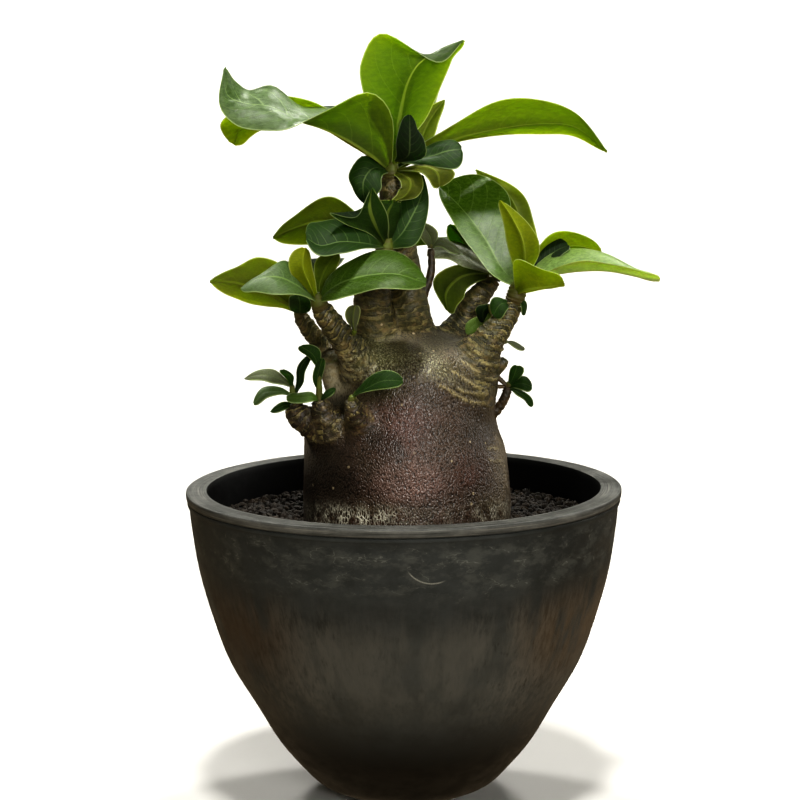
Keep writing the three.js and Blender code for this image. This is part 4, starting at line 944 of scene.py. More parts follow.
def limb_layers(p, limbs, weights):
    """What the limbs give each point: height, lips and hollows of their leaf scars, the largest
    weight of a limb, and the count and strength of its rings."""
    lift, lips, hollows, wood, ring, ringed = np.zeros((6, len(p)))
    for limb, weight in zip(limbs, weights):
        wood = np.maximum(wood, weight)
        if limb.relief:
            inside = smooth(weight, 0.35, 0.8)
            height, lip, hollow, place = scars(limb, p, inside)
            lift = lift + height * limb.relief
            lips = np.maximum(lips, lip)
            hollows = np.maximum(hollows, hollow)
            ring = np.where(inside > ringed, place, ring)
            ringed = np.maximum(inside * min(1.0, limb.relief / 0.8), ringed)
    return lift, lips, hollows, wood, ring, ringed


def folds(u, w, broken, front):
    """Height and paleness of the skin folds."""
    ridge, pale_ridge = np.zeros((2, len(u)))
    for width, height, pale, line in FOLDS:
        d, along = distance_to_line(u + 0.9 * broken, w + 0.6 * broken, line)
        ends = smooth(along, -0.02, 0.12) * smooth(1 - along, -0.02, 0.12)
        mark = np.exp(-((d / width) ** 2)) * ends * front * (0.75 + 0.5 * broken)
        ridge = ridge + mark * height
        pale_ridge = np.maximum(pale_ridge, mark * pale)
    return ridge, pale_ridge


def trunk_surface():
    """The whole wooden body: points, faces, tint, finish and rings."""
    limbs = [Limb(*row) for row in LIMBS]
    p, faces, normal = trunk_skin(limbs)
    own = np.exp(-np.maximum(caudex_distance(p), -1) / WOOD_BLEND)
    share = [np.exp(-np.maximum(limb.distance(p), -1) / WOOD_BLEND) for limb in limbs]
    total = own + sum(share)
    weights = [weight / total for weight in share]
    lift, lips, hollows, wood, ring, ringed = limb_layers(p, limbs, weights)
    x, y, z = p.T
    around = np.arctan2(y, x)
    u, w = as_seen(p)
    front = smooth(0.3 * normal[:, 2] - normal[:, 1], -0.15, 0.35)
    back = 1 - front
    ridge, pale_ridge = folds(u, w, noise_at(p, 0.22, 1), front)
    coarse = noise_at(p, 0.045, 2)
    middle = noise_at(p, 0.12, 3)
    fine = noise_at(p * np.array([1, 1, 0.55]), 0.55, 4)
    lift = lift + ridge + 0.5 * coarse * own / total + 0.22 * middle + 0.13 * fine

    p = p + normal * lift[:, None]

    edge = SHOULDER - 10 * smooth(np.abs(u - 8), 0, 40) + 4 * np.sin(around * 5 + 1) + 3 * coarse
    edge += back * (9 * np.sin(around * 3 + 2) + 14 * noise_at(p, 0.03, 12) + 4 * middle)
    soft = 5 + 7 * back
    shoulder = smooth(w, edge - soft, edge + soft)
    dull = front * np.clip(blobs(u, w, DULL), 0, 1)
    fleck = front * blobs(u, w, FLECKED) * (1 - blobs(u, w, FLECKLESS))
    fleck = np.clip(fleck + back * (0.35 + 0.5 * coarse), 0.16, 1) * (1 - 0.5 * dull)
    fleck = shoulder * fleck * (1 - 0.7 * smooth(wood, 0.6, 0.95) * smooth(w, 244, 252))
    dip = front * blobs(u, w, DIP)
    knob = front * np.minimum(blobs(u, w, KNOB), 1)
    stump = front * smooth(-u, 22, 34) * smooth(w, 200, 207) * smooth(226 - w, 0, 6)

    colour = np.tile(linear(WOOD_LOW), (len(p), 1))
    colour = lay(colour, WOOD_RED, 0.12 + 0.25 * middle + front * blobs(u, w, REDDISH))
    colour = lay(colour, WOOD_OLIVE, shoulder * (0.85 - 0.75 * dip) * (0.75 + 0.35 * middle))
    colour = lay(colour, WOOD_BRANCH, smooth(wood, 0.4, 0.8) * smooth(w, 212, 238) * 0.9)
    colour = lay(colour, WOOD_GREY, knob)
    colour = lay(colour, WOOD_DARK, stump * 0.55)
    # Patches of colour on the front, some of them painted shade and painted highlights
    for *place, tone in PATCHES:
        colour = lay(colour, tone, front * blobs(u, w, [place]) * (0.8 + 0.4 * middle))
    # Painted shade in the hollows between the rings of leaf scars
    colour = lay(colour, WOOD_DARK, hollows * (0.25 + 0.2 * middle))
    colour = lay(colour, WOOD_PALE, lips * (0.22 + 0.3 * middle) + pale_ridge)
    colour = np.clip(colour * (1 + 0.16 * middle + 0.1 * fine)[:, None], 0.002, 1)

    wrinkled = 0.14 + front * blobs(u, w, WRINKLED) + back * (0.2 + 0.4 * middle)
    line = smooth(z, *WRINKLES_FROM) * smooth(z, WRINKLES_END, WRINKLES_FADE)
    line = line * np.clip(wrinkled, 0, 1)
    finish = np.stack([shoulder, line, smooth(wood, 0.3, 0.8), 1 - 0.25 * knob], axis=1)
    rings = np.stack([ring, ringed, fleck], axis=1)
    return p, faces, with_last(colour, 0.6 * dull), finish, rings


def wood_material():
    s = Shade("bark")
    tint, matt = s.stored("tint", "Color", "Alpha")
    _, line, limb, coarse = s.channels("finish")
    count, ringed, flecked = s.split(s.stored("rings", "Vector")[0])
    even = s.place()
    tall = s.place((1, 1, 0.62))
    # Pebbled skin, drawn out a little upwards
    bend = s.noise(420, 1, 0.5, even, "Color")
    wander = s.node("Mix", [1], ((0, 0.0008), (4, tall), (5, bend)), data_type="VECTOR")[0]
    pebble = s.cells(1380, "SMOOTH_F1", wander, "Distance")[0]
    grain = s.noise(1300, 2, 0.6, tall)
    cloud = s.noise(60, 5, 0.6, even)
    patch = s.noise(150, 3, 0.55, s.place((1, 1, 0.8), (2, 5, 1)))
    # Pale worn flecks, most on the shoulder
    fleck = s.step(s.noise(1250, 2, 0.55, s.place((1, 1, 0.30), (3, 1, 2))), 0.48, 0.60)
    fleck *= s.step(flecked * 0.14 + patch, 0.38, 0.60) * (flecked * 0.80 + 0.01) * coarse
    s.colour = s.mix(fleck, tint, (206, 202, 166))
    # Painted shade in the gaps between the pebbles
    smoother = coarse * s.step(limb, 0.2, 1.0, 1.0, 0.5)
    shaded = s.mix(1.0, tint, (88, 82, 72), "MULTIPLY")
    s.paint(s.step(pebble, 0.34, 0.70) * smoother * 0.80, shaded)
    # Tan and dark olive mottling on the limbs
    mottle = s.noise(190, 4, 0.62, s.place((1, 1, 1.5), (6, 1, 3)))
    s.paint(s.step(mottle, 0.50, 0.64) * limb * 0.42, (150, 128, 84))
    s.paint(s.step(mottle, 0.50, 0.36) * limb * 0.62, (40, 42, 20))
    # Rings of leaf scars: a pale lip each, and painted shade in the hollow between rings
    ragged = s.noise(520, 3, 0.6, even)
    ring = s.math("FRACT", ragged * 0.5 + count)
    strong = ringed * s.step(patch, 0.32, 0.60, 0.25, 1.0)
    lip = s.band(ring, 0.52, 0.74, 0.80, 0.90) * strong
    hollow = (s.step(ring, 0.84, 0.93) + s.step(ring, 0.14, 0.02)) * strong
    s.paint(lip * 0.66, (176, 164, 108))
    s.paint(hollow * 0.82, (28, 22, 10))
    # Pale upright wrinkles above the soil
    upright = s.place((1, 1, 0.42), (5, 2, 1))
    seam = s.cells(760, "DISTANCE_TO_EDGE", upright, "Distance")[0]
    wrinkle = s.step(ragged * 0.30 + seam, 0.34, 0.18) * s.step(patch, 0.36, 0.54) * line
    s.paint(wrinkle, (230, 226, 204))
    # Scattered pale pores
    near, chance = s.cells(105, "F1", even, "Distance", "Color")
    pore = s.step(near, 0.10, 0.06) * s.step(s.split(chance)[0], 0.60, 0.64)
    s.paint(pore * 0.7, (196, 180, 146))
    rough = limb * 0.14 + s.step(cloud, 0.3, 0.7, 0.28, 0.40) + matt
    height = (grain * 0.25 - pebble) * smoother + wrinkle * 0.5 + lip * 0.9 - hollow
    normal = s.bump(height, 1.0, 0.0005)
    return s.finish(Roughness=rough, Normal=normal, Specular_IOR_Level=0.75)


def build_trunk(bark):
    p, faces, colour, finish, rings = trunk_surface()
    piece = new_object("trunk_wood", p, faces, bark)
    store(piece, "tint", colour)
    store(piece, "finish", finish)
    store(piece, "rings", rings, "VECTOR")
    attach(piece, "root")
    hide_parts("trunk")


def build_twigs(bark):
    """Thin bare twigs, with small knots."""
    shaped = []
    for n, path in enumerate(TWIGS):
        rings = limb_rings(path, TWIG_SIDES)
        at = np.arange(len(rings))
        shaped.append(skin(swollen(rings, 1 + 0.16 * np.sin(at * 2.3 + n) * (at % 3 == 0))))
    points, faces = join(shaped)
    piece = new_object("trunk_twigs", points, faces, bark)
    tone = linear(WOOD_TWIG) * (1 + 0.3 * noise_at(points, 0.4, 7))[:, None]
    store(piece, "tint", with_last(tone, 0.0))
    store(piece, "finish", [(0.2, 0, 1, 1)] * len(points))
    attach(piece, "root")


def leaf_width(t, end):
    """Share of the full width at t along a leaf."""
    widest = LEAF_START / (LEAF_START + end)
    start_share = (max(t, 0.0) / widest) ** LEAF_START
    return start_share * (max(1 - t, 0.0) / (1 - widest)) ** end


def leaf_sheet(row, stem, key):
    """Grid of points of one leaf's middle sheet, places along and across it, and its length."""
    along, across = SMALL_SAMPLES if row["small"] else LEAF_SAMPLES
    end = row["end"]
    foot = seen(row["base"])
    root = min(stem, key=lambda p: np.linalg.norm(p - foot))
    placed = [[seen(p) for p in places] for places in row["rows"]]
    mid = [foot + (root - foot) * ROOT_SHARE, *(place[0] for place in placed), seen(row["tip"])]
    edges = []
    for which in (1, 2):
        out = [
            (place[which] - place[0]) / leaf_width((i + 1) / (len(placed) + 1), end)
            for i, place in enumerate(placed)
        ]
        edges.append([out[0], *out, out[-1]])
    length = sum(np.linalg.norm(b - a) for a, b in zip(mid, mid[1:]))
    rough = EDGE_WAVE * 0.5 * min(1.0, length / 60)
    grid = np.zeros((along + 1, 2 * across + 1, 3))
    coords = np.zeros((along + 1, 2 * across + 1, 2))
    for i in range(along + 1):
        t = 1 - (1 - i / along) ** SAMPLE_POWER
        centre = curve_at(mid, t)
        ahead = unit(curve_at(mid, t + 0.001) - curve_at(mid, t - 0.001))
        share = leaf_width(min(t, TIP_FROM), end)
        stalk = PETIOLE * max(0.0, 1 - 6 * t)
        for j in range(-across, across + 1):
            sign = -1 if j < 0 else 1
            half = curve_at(edges[0 if j < 0 else 1], t) * share
            size = np.linalg.norm(half)
            out = unit(half)
            above = unit(np.cross(out, ahead)) * sign
            v = (abs(j) / across) ** ACROSS_POWER
            wave = noise.noise(Vector((t * 4.2, v * 0.8 + (3 if j < 0 else 0), key * 7.3)))
            lift = 4 * row["bulge"] * size * v * (1 - v)
            lift += rough * wave * v * v * min(1.0, size / 6)
            grid[i, j + across] = centre + out * (size + stalk) * v + above * lift
            coords[i, j + across] = (t, sign * v)
    return grid, coords, length


def leaf_solid(grid, coords, length):
    """Points and faces of a leaf with thickness. Upper points come first, then lower ones."""
    t, v = coords[..., 0], np.abs(coords[..., 1])
    normal = unit_rows(np.cross(np.gradient(grid, axis=1), np.gradient(grid, axis=0)))
    thick = 0.5 * (BLADE + (EDGE_BLADE - BLADE) * v**3)
    rib = np.exp(-((v * (4 + 5 * t)) ** 2)) * (1 - 0.75 * t) * min(1.0, length / 70)
    upper = grid + normal * (thick - 0.35 * rib)[..., None]
    lower = grid - normal * (thick + 1.1 * rib)[..., None]
    n, m = grid.shape[:2]
    under = n * m
    index = np.arange(under).reshape(n, m)
    faces = []
    for i in range(n - 1):
        for j in range(m - 1):
            a, b, c, d = index[i, j], index[i, j + 1], index[i + 1, j + 1], index[i + 1, j]
            faces += [(a, b, c, d), (d + under, c + under, b + under, a + under)]
    border = [*index[0], *index[1:, -1], *index[-1, -2::-1], *index[-2:0:-1, 0]]
    for p, q in zip(border, border[1:] + border[:1]):
        faces.append((p, p + under, q + under, q))
    return np.concatenate([upper.reshape(-1, 3), lower.reshape(-1, 3)]), faces


def leaf_measures(grid):
    """Length along the leaf and half width here, mm, for each point of its sheet."""
    middle = grid.shape[1] // 2
    steps = np.linalg.norm(np.diff(grid[:, middle], axis=0), axis=1)
    along = np.repeat(np.concatenate([[0], np.cumsum(steps)]), grid.shape[1])
    sides = np.linalg.norm(np.diff(grid, axis=1), axis=2)
    left, right = (part.sum(axis=1)[:, None] for part in (sides[:, :middle], sides[:, middle:]))
    rows = [np.repeat(left, middle, axis=1), (left + right) / 2, np.repeat(right, middle, axis=1)]
    return along, np.concatenate(rows, axis=1).reshape(-1)


def leaf_material(name, face):
    """Upper or lower face of the leaves."""
    shade, pale, veins, vein_height, rib_share, (low, high), level, through = face
    s = Shade(name)
    tint, matt = s.stored("tint", "Color", "Alpha")
    off, half, along, _ = s.channels("span")
    off, half, along = off * SPAN_HALF, half * SPAN_HALF, along * SPAN_ALONG
    t, across, _ = s.split(s.stored("blade", "Vector")[0])
    v = abs(across * 2.0 - 1.0)
    patchy = s.noise(55, 4, 0.55)
    speck = s.noise(1500, 2, 0.5)
    # Side veins leave the midrib and bend towards the tip
    lane = v * -0.10 + t + s.math("POWER", v, 1.7) * -0.16
    lane = lane + s.step(across, 0.49, 0.51) * 0.035 + patchy * 0.02
    wave = abs(s.math("FRACT", lane * 8.5) * 2.0 - 1.0)
    thin = s.step(v, 0.0, 0.9, 0.88, 0.945)
    vein = s.math("DIVIDE", wave - thin, 1.0 - thin, clamp=True)
    vein *= s.step(v, 0.99, 0.72) * s.step(half, 2.5, 7.0)
    # Midrib, thick at the base
    width = s.step(along, 0.0, 70.0, 1.25, 0.42)
    width = s.math("MINIMUM", width, half * 0.06 + 0.10) * rib_share
    rib = s.step(1.0 - off / width, 0.0, 0.45)
    # Pale veins, midrib and edge, weaker on small and on dark leaves
    pale = s.mix(0.6, tint, pale)
    large = s.step(half, 4.0, 15.0, 0.22, 0.80) * s.step(matt, 0.1, 0.5, 1.0, 0.55)
    edge = s.step(half - off, 0.72, 0.34) * s.step(half, 1.6, 3.0)
    rim = edge * s.step(matt, 0.1, 0.5, 0.75, 0.45)
    dark = s.mix(1.0, tint, shade, "MULTIPLY")
    s.colour = s.mix(s.step(patchy, 0.35, 0.7), dark, tint)
    s.paint(vein * large * veins, pale)
    s.paint(rib * large, pale)
    s.paint(rim, s.mix(0.5, pale, (184, 200, 146)))
    s.paint(s.step(speck, 0.58, 0.75) * 0.10, (190, 200, 170))
    rough = s.step(patchy, 0.3, 0.7, low, high) + matt
    rough += s.step(s.noise(1000, 3, 0.65), 0.35, 0.65, -0.09, 0.09)
    rough += s.step(half, 3.0, 8.0, 0.22, 0.0)
    relief = s.noise(260, 2, 0.5) * 0.8 + vein * vein_height + speck * 0.22
    return s.finish(
        Roughness=rough, Normal=s.bump(relief, 0.5, 0.00028),
        Subsurface_Radius=(1.0, 1.25, 0.35), Subsurface_Scale=0.0028,
        Specular_IOR_Level=level, Subsurface_Weight=through,
    )


def shoot_material():
    """Green stem ends with brownish rings."""
    s = Shade("shoot")
    tint = s.stored("tint", "Color")[0]
    cloud = s.noise(220, 4, 0.6)
    rings = s.noise(160, 3, 0.5, s.place((1, 1, 3)))
    brownish = s.mix(0.5, tint, (92, 78, 42))
    s.colour = s.mix(s.step(rings, 0.45, 0.62), tint, brownish)
    s.paint(s.step(cloud, 0.5, 0.7) * 0.3, (150, 150, 84))
    rough = s.step(cloud, 0.3, 0.7, 0.42, 0.6)
    return s.finish(Roughness=rough, Normal=s.bump(cloud, 0.5, 0.0004))


def stem_end(path):
    """Stem of a shoot: points and faces, blade, span and tint values, and material of each face."""
    rings = limb_rings(path, STEM_SIDES)
    count = len(rings)
    points, faces = skin(swollen(rings, 1 + 0.05 * np.sin(np.arange(count) * 2.1)))
    height = np.append(np.repeat(np.arange(count), STEM_SIDES), [0, count - 1]) / count
    low, high = linear(STEM_LOW), linear(STEM_HIGH)
    tone = low + (high - low) * smooth(height, 0.05, 0.75)[:, None]
    none = np.zeros((len(points), 4))
    return (points, faces), none[:, :3], none, with_last(tone, 1.0), [2] * len(faces)


def leaf_part(row, stem, key):
    """One leaf, as the same five parts as a stem end."""
    grid, coords, length = leaf_sheet(row, stem, key)
    points, faces = leaf_solid(grid, coords, length)
    # What the materials read is the width of the finished upper face
    along, half = leaf_measures(points[:len(points) // 2].reshape(grid.shape))
    t, across = coords.reshape(-1, 2).T
    upper, lower, matt = TONES[row["tone"]]
    near = 0.5 * smooth(1 - t * 6, 0, 1)[:, None]
    tones = [linear(tone) * (1 - near) + linear(STEM_HIGH) * near for tone in (upper, lower)]
    blade = np.stack([t, 0.5 + 0.5 * across, 0 * t], axis=1)
    span = np.stack([np.abs(across) * half, half, along * SPAN_HALF / SPAN_ALONG], axis=1)
    spans = [with_last(span / SPAN_HALF, side) for side in (0.0, 1.0)]
    first_lower = len(t)
    shades = [int(face[0] >= first_lower) for face in faces]
    tint = with_last(np.concatenate(tones), matt)
    return (points, faces), np.tile(blade, (2, 1)), np.concatenate(spans), tint, shades


def build_shoot(name, path, leaves, number, materials):
    stem = [seen(p) for p in path]
    parts = [stem_end(path)]
    parts += [leaf_part(row, stem, number * 31 + n) for n, row in enumerate(leaves)]
    meshes, blades, spans, tints, shades = zip(*parts)
    piece = new_object(name + "_detail", *join(meshes), *materials)
    store(piece, "blade", np.concatenate(blades), "VECTOR")
    store(piece, "span", np.concatenate(spans))
    store(piece, "tint", np.concatenate(tints))
    piece.data.polygons.foreach_set("material_index", np.concatenate(shades))
    piece.data.set_sharp_from_angle(angle=math.radians(48))
    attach(piece, "root")
    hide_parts(name)


def finer(profile):
    """Profile with three smooth points added between each two."""
    points = [np.array(p, float) for p in profile]
    last = 4 * (len(points) - 1)
    return [*(curve_at(points, i / last) for i in range(last)), points[-1]]


def pot_material():
    """Dark worn plastic, with painted shade, a painted sheen and a painted brown reflection. Places
    on it are in metres.
    """
    s = Shade("pot_plastic")
    x, y, z = s.split(s.here())
    side = abs(x)
    radius = s.math("SQRT", x * x + y * y)
    cloud = s.noise(18, 6, 0.62)
    drift = s.noise(70, 6, 0.7, s.place((1, 1, 1.8), (2, 0, 0)))
    streak = s.noise(460, 4, 0.6, s.place((1, 1, 0.009)))
    broad = s.noise(70, 4, 0.55, s.place((1, 1, 0.10), (1, 3, 0)))
    grain = s.noise(1100, 2, 0.5)
    s.colour = s.mix(s.step(cloud, 0.3, 0.7), (60, 63, 62), (71, 74, 73))
    # Painted shade: darker towards the bottom of the wall
    s.paint(s.step(z, 0.066, 0.024), (20, 18, 14))
    # Painted shade high on the right side of the wall
    right_wall_shade = s.step(x, 0.050, 0.090) * s.step(z, 0.104, 0.128, 0.0, 0.6)
    s.paint(right_wall_shade, (34, 36, 33))
    # Cloudy pale bloom high on the wall
    high = s.band(z, 0.126, 0.142, 0.158, 0.166)
    bloom = s.step(drift, 0.44, 0.64) * high
    s.paint(bloom * 0.42, (104, 106, 101))
    # Curling hairline scuffs in the bloom
    curl = abs(s.noise(46, 3, 0.55, s.place((1, 1, 2.6), (0, 4, 1))) - 0.5)
    hair = s.step(curl, 0.010, 0.002) * s.step(drift, 0.46, 0.60) * high
    s.paint(hair * 0.55, (128, 130, 124))
    # One longer scratch on the front, part of a circle
    dx, dz = x - 0.0146, z - 0.1570
    arc = abs(s.math("SQRT", dx * dx + dz * dz) - 0.0156)
    arc = s.step(arc, 0.0006, 0.0001) * s.band(x, 0.001, 0.004, 0.017, 0.022)
    arc *= s.step(y, 0.0, -0.01) * s.step(z, 0.151, 0.148) * s.step(grain, 0.3, 0.6, 0.3, 1.0)
    s.paint(arc * 0.7, (176, 176, 166))
    # Painted sheen down the middle of the wall, front and back, and streaks rubbed down the wall
    middle = s.band(z, 0.040, 0.078, 0.112, 0.137)
    painted_sheen = s.band(z, 0.050, 0.086, 0.102, 0.124) * s.step(side, 0.080, 0.045, 0.15, 1.0)
    painted_sheen *= s.step(broad, 0.30, 0.60, 0.45, 1.0)
    s.paint(painted_sheen * 0.72, (104, 105, 101))
    rubbed = s.step(streak, 0.38, 0.62) * s.step(broad, 0.34, 0.60) * middle
    outward = s.step(side, 0.024, 0.066, 0.30, 1.0) * 0.55
    s.paint(rubbed * outward, (114, 112, 106))
    grooves = s.step(streak, 0.46, 0.32) * middle * s.step(drift, 0.4, 0.6) * outward
    s.paint(grooves, (40, 40, 36))
    # Painted reflection of a brown surface, low on the sides
    brown_reflection = s.step(z, 0.140, 0.105) * s.step(z, 0.064, 0.104, 0.25, 1.0)
    brown_reflection *= s.step(broad, 0.30, 0.55) * s.step(side, 0.045, 0.088, 0.05, 0.6)
    s.paint(brown_reflection, s.mix(s.step(x, 0.0, 0.05), (86, 67, 46), (102, 84, 62)))
    # Paler worn rim with fine turned lines
    away = abs(s.math("ARCTAN2", x, y * -1.0))
    turned = s.node("CombineXYZ", [0], enumerate((radius, z, away * 0.0016)))[0]
    turned = s.noise(1100, 3, 0.7, turned)
    worn = s.mix(s.step(drift, 0.35, 0.7), (88, 89, 86), (116, 116, 112))
    worn = s.mix(s.step(turned, 0.50, 0.36, 0.0, 0.75), worn, (52, 52, 49))
    worn = s.mix(s.step(turned, 0.54, 0.66, 0.0, 0.6), worn, (150, 148, 140))
    top = s.step(z, 0.1662, 0.1672) * s.step(radius, 0.1082, 0.1092)
    s.paint(top * 0.9, worn)
    # Painted shade inside, the inner wall near-black, and a few pale scuffs
    inner = s.step(radius, 0.1092, 0.1084) * s.step(z, 0.120, 0.130)
    s.paint(inner, (12, 12, 12))
    scuff = s.step(s.noise(150, 4, 0.6, s.place((1, 1, 0.5), (4, 2, 0))), 0.66, 0.74) * high
    s.paint(scuff * 0.35, (140, 140, 132))
    rough = (bloom + rubbed) * 0.10 + s.step(cloud, 0.3, 0.7, 0.42, 0.60)
    height = streak * middle * 0.9 + grain * 0.5 + drift * 0.6
    normal = s.bump(height, 0.35, 0.0004)
    return s.finish(Roughness=rough, Normal=normal, Specular_IOR_Level=0.22)


def close_floor(points, faces, top_ring):
    """Closes the pot's two floor faces round the drain holes, and lines the holes."""
    turn = np.arange(DRAIN_SIDES) * TURN / DRAIN_SIDES
    around = np.arange(DRAIN_HOLES) * TURN / DRAIN_HOLES + math.pi / 4
    holes = []
    for z, ring, facing in ((0.0, 0, -1), (POT_FLOOR, top_ring, 1)):
        loops = [range(ring * POT_SIDES, (ring + 1) * POT_SIDES)]
        for a in around:
            loops.append(range(len(points), len(points) + DRAIN_SIDES))
            cx, cy = DRAIN_AT * math.cos(a), DRAIN_AT * math.sin(a)
            x, y = cx + DRAIN_RADIUS * np.cos(turn), cy + DRAIN_RADIUS * np.sin(turn)
            points.extend(np.stack([x, y, z + 0 * turn], axis=1))
        plate = bmesh.new()
        index, edges = {}, []
        for loop in loops:
            corners = [plate.verts.new(points[k]) for k in loop]
            index.update(zip(corners, loop))
            edges += [plate.edges.new(pair) for pair in zip(corners, corners[1:] + corners[:1])]
        bmesh.ops.triangle_fill(plate, edges=edges, use_beauty=True)
        for face in plate.faces:
            face.normal_update()
            found = tuple(index[vert] for vert in face.verts)
            faces.append(found if face.normal.z * facing > 0 else found[::-1])
        plate.free()
        holes.append(loops[1:])
    for low, high in zip(*holes):
        faces.extend((low[k - 1], high[k - 1], high[k], low[k]) for k in range(DRAIN_SIDES))


def build_pot(material):
    rings = circles([*finer(POT_OUTSIDE), *finer(POT_INSIDE)], POT_SIDES)
    points, faces = list(rings.reshape(-1, 3)), ring_faces(len(rings), POT_SIDES)
    close_floor(points, faces, len(rings) - 1)
    piece = new_object("pot_shell", points, faces, material, sharp=40)
    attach(piece, "root")
    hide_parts("pot")


def soil_material():
    s = Shade("soil_gravel")
    tint = s.stored("tint", "Color")[0]
    cloud = s.noise(700, 4, 0.6)
    darker = s.mix(1.0, tint, (170, 165, 160), "MULTIPLY")
    s.colour = s.mix(s.step(cloud, 0.3, 0.75), darker, tint)
    rough = s.step(cloud, 0.3, 0.7, 0.72, 0.92)
    return s.finish(Roughness=rough, Normal=s.bump(cloud, 0.6, 0.0005))


def grain_ball():
    """Rough ball of 42 points."""
    ball = bmesh.new()
    bmesh.ops.create_icosphere(ball, subdivisions=2, radius=1.0)
    points = np.array([tuple(v.co) for v in ball.verts])
    faces = [tuple(v.index for v in f.verts) for f in ball.faces]
    ball.free()
    return points, faces


def grain_places(rng):
    """Places x, y and sizes of loose grains that hardly overlap."""
    placed, cells = [], {}
    for _ in range(GRAIN_TRIES):
        if len(placed) == GRAINS:
            break
        r = math.sqrt(rng.uniform(GRAIN_RING[0] ** 2, GRAIN_RING[1] ** 2))
        a = rng.uniform(0, TURN)
        size = rng.uniform(*GRAIN_SIZE)
        x, y = r * math.cos(a), r * math.sin(a)
        i, j = int(x // GRAIN_CELL), int(y // GRAIN_CELL)
        near = [q for m in (-1, 0, 1) for n in (-1, 0, 1) for q in cells.get((i + m, j + n), ())]
        crowded = any(
            math.hypot(x - q[0], y - q[1]) < GRAIN_GAP * (size + q[2]) for q in near
        )
        if r + size <= GRAIN_LIMIT and not crowded:
            cells.setdefault((i, j), []).append((x, y, size))
            placed.append((x, y, size))
    return placed


def build_soil(material):
    """Bed of soil, with loose grains packed over it."""
    rng = np.random.default_rng(SEED)
    bed = circles([*SOIL_SIDE, *((r, SOIL_TOP - 1.6) for r in SOIL_RINGS)], SOIL_SIDES)
    for ring in bed[len(SOIL_SIDE):]:
        ring[:, 2] += 0.9 * noise_at(ring, 0.16, 9) + 0.5 * noise_at(ring, 0.5, 11)
    parts = [skin(bed)]
    tones = [np.tile(linear(SOIL_BED), (len(parts[0][0]), 1))]
    ball_points, ball_faces = grain_ball()
    for x, y, size in grain_places(rng):
        stretch = rng.uniform(0.72, 1.28, 3) * (1, 1, 0.8)
        spin = Matrix.Rotation(rng.uniform(0, 6.28), 3, "Z")
        spin = spin @ Matrix.Rotation(rng.uniform(-0.9, 0.9), 3, "X")
        lumps = 1 + rng.uniform(-0.16, 0.16, (len(ball_points), 1))
        shape = (ball_points * lumps * stretch) @ np.array(spin).T * size
        ground = SOIL_TOP - 1.0 + 0.9 * noise.noise(Vector((x, y, 150)) * 0.16)
        parts.append((shape + (x, y, ground + rng.uniform(-0.5, 1.3)), ball_faces))
        light = rng.uniform(0.55, 1.5)
        warm = rng.uniform(0.9, 1.12)
        tone = linear(SOIL_GRAIN) * light * (warm, 1.0, 1 / warm)
        tones.append(np.tile(tone, (len(ball_points), 1)))
    piece = new_object("soil_gravel", *join(parts), material, sharp=42)
    store(piece, "tint", with_last(np.concatenate(tones), 1.0))
    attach(piece, "root")
    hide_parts("soil")


def build_stage():
    """Pale floor and surroundings. The object is lit by the lamps and the world, not by these."""
    s = Shade("floor_paint")
    s.colour = s.mix(s.step(s.noise(30, 4, 0.5), 0.3, 0.7), FLOOR_LOW, FLOOR_HIGH)
    floor = new_object("floor", *skin(circles(FLOOR_RINGS, 96)), s.finish(Roughness=0.85))
    glow = bpy.data.materials.new("surroundings")
    glow.use_nodes = True
    tree = glow.node_tree
    tree.nodes.clear()
    source = tree.nodes.new("ShaderNodeEmission")
    source.inputs["Color"].default_value = (*SURROUNDINGS, 1)
    end = tree.nodes.new("ShaderNodeOutputMaterial")
    tree.links.new(source.outputs[0], end.inputs["Surface"])
    dome = [
        (WALL_RADIUS * math.cos(a), WALL_RADIUS * math.sin(a) - 400)
        for a in np.linspace(0, 1.5, 12)
    ]
    around = new_object("surroundings", *skin(circles(dome, 96)), glow)
    around.visible_shadow = False
    for piece in (floor, around):
        piece.visible_diffuse = False
        piece.visible_glossy = False
        piece.visible_transmission = False


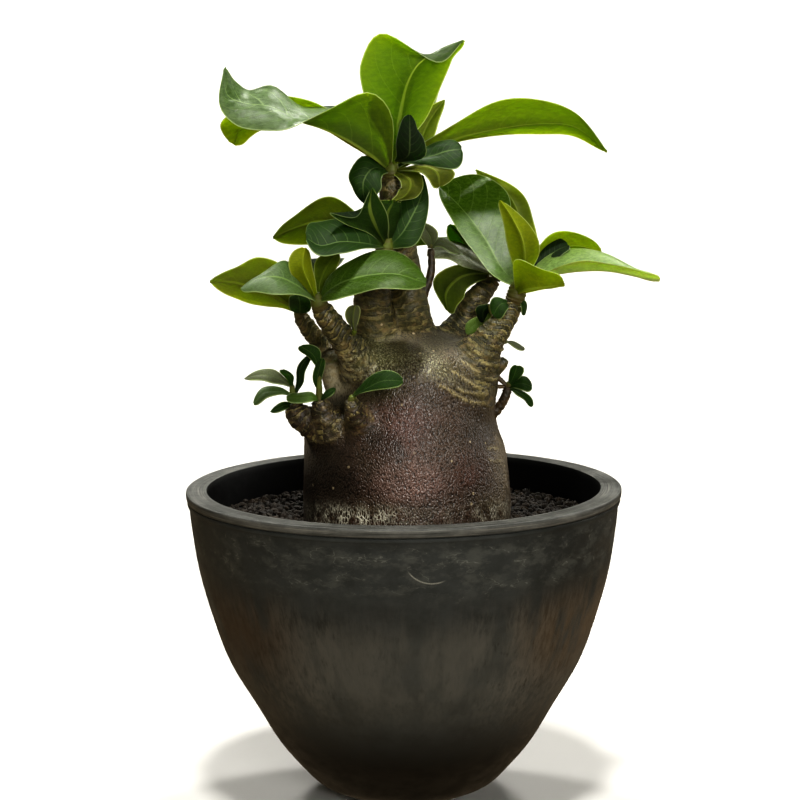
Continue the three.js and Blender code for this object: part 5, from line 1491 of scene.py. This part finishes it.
def add_sun(name, azimuth, elevation, angle, strength, colour):
    """Soft light from azimuth (0 in front, 90 on the viewer's right) and elevation, degrees."""
    light = bpy.data.lights.new(name, "SUN")
    light.energy = strength
    light.angle = math.radians(angle)
    light.color = colour
    lamp = bpy.data.objects.new(name, light)
    a, e = math.radians(azimuth), math.radians(elevation)
    towards = Vector((math.sin(a) * math.cos(e), -math.cos(a) * math.cos(e), math.sin(e)))
    lamp.rotation_euler = towards.to_track_quat("Z", "Y").to_euler()
    lamp.location = towards * 3
    bpy.context.scene.collection.objects.link(lamp)


def build_light():
    """Lamps, and a world that goes from its low to its high colour."""
    world = bpy.data.worlds.new("studio")
    world.use_nodes = True
    bpy.context.scene.world = world
    nodes, links = world.node_tree.nodes, world.node_tree.links
    way = nodes.new("ShaderNodeTexCoord")
    split = nodes.new("ShaderNodeSeparateXYZ")
    level = nodes.new("ShaderNodeMath")
    level.operation = "MULTIPLY_ADD"
    level.inputs[1].default_value = 0.5
    level.inputs[2].default_value = 0.5
    ramp = nodes.new("ShaderNodeValToRGB")
    stops = zip(ramp.color_ramp.elements, WORLD_STEPS, (WORLD_LOW, WORLD_HIGH))
    for stop, position, colour in stops:
        stop.position = position
        stop.color = (*colour, 1)
    links.new(way.outputs["Generated"], split.inputs[0])
    links.new(split.outputs[2], level.inputs[0])
    links.new(level.outputs[0], ramp.inputs[0])
    links.new(ramp.outputs[0], nodes["Background"].inputs["Color"])
    for row in SUNS:
        add_sun(*row)
    view = bpy.context.scene.view_settings
    view.view_transform = "Standard"
    view.look = VIEW_LOOK
    view.exposure = 0.0


def build_camera():
    data = bpy.data.cameras.new("camera")
    data.sensor_width = CAMERA_SENSOR
    data.sensor_fit = "HORIZONTAL"
    data.lens = CAMERA_LENS
    data.clip_end = 200
    camera = bpy.data.objects.new("camera", data)
    pitch, roll = math.radians(CAMERA_PITCH), math.radians(CAMERA_ROLL)
    look = Matrix.Rotation(math.pi / 2 - pitch, 4, "X") @ Matrix.Rotation(roll, 4, "Z")
    camera.matrix_world = Matrix.Translation(CAMERA_AT) @ look
    bpy.context.scene.collection.objects.link(camera)
    bpy.context.scene.camera = camera


build_camera()
build_light()
build_stage()
build_pot(pot_material())
build_soil(soil_material())
bark = wood_material()
build_trunk(bark)
build_twigs(bark)
shades = [leaf_material("leaf_upper", UPPER), leaf_material("leaf_lower", LOWER), shoot_material()]
for number, (name, path, leaves) in enumerate(SHOOTS):
    build_shoot(name, path, leaves, number, shades)

bpy.context.view_layer.update()
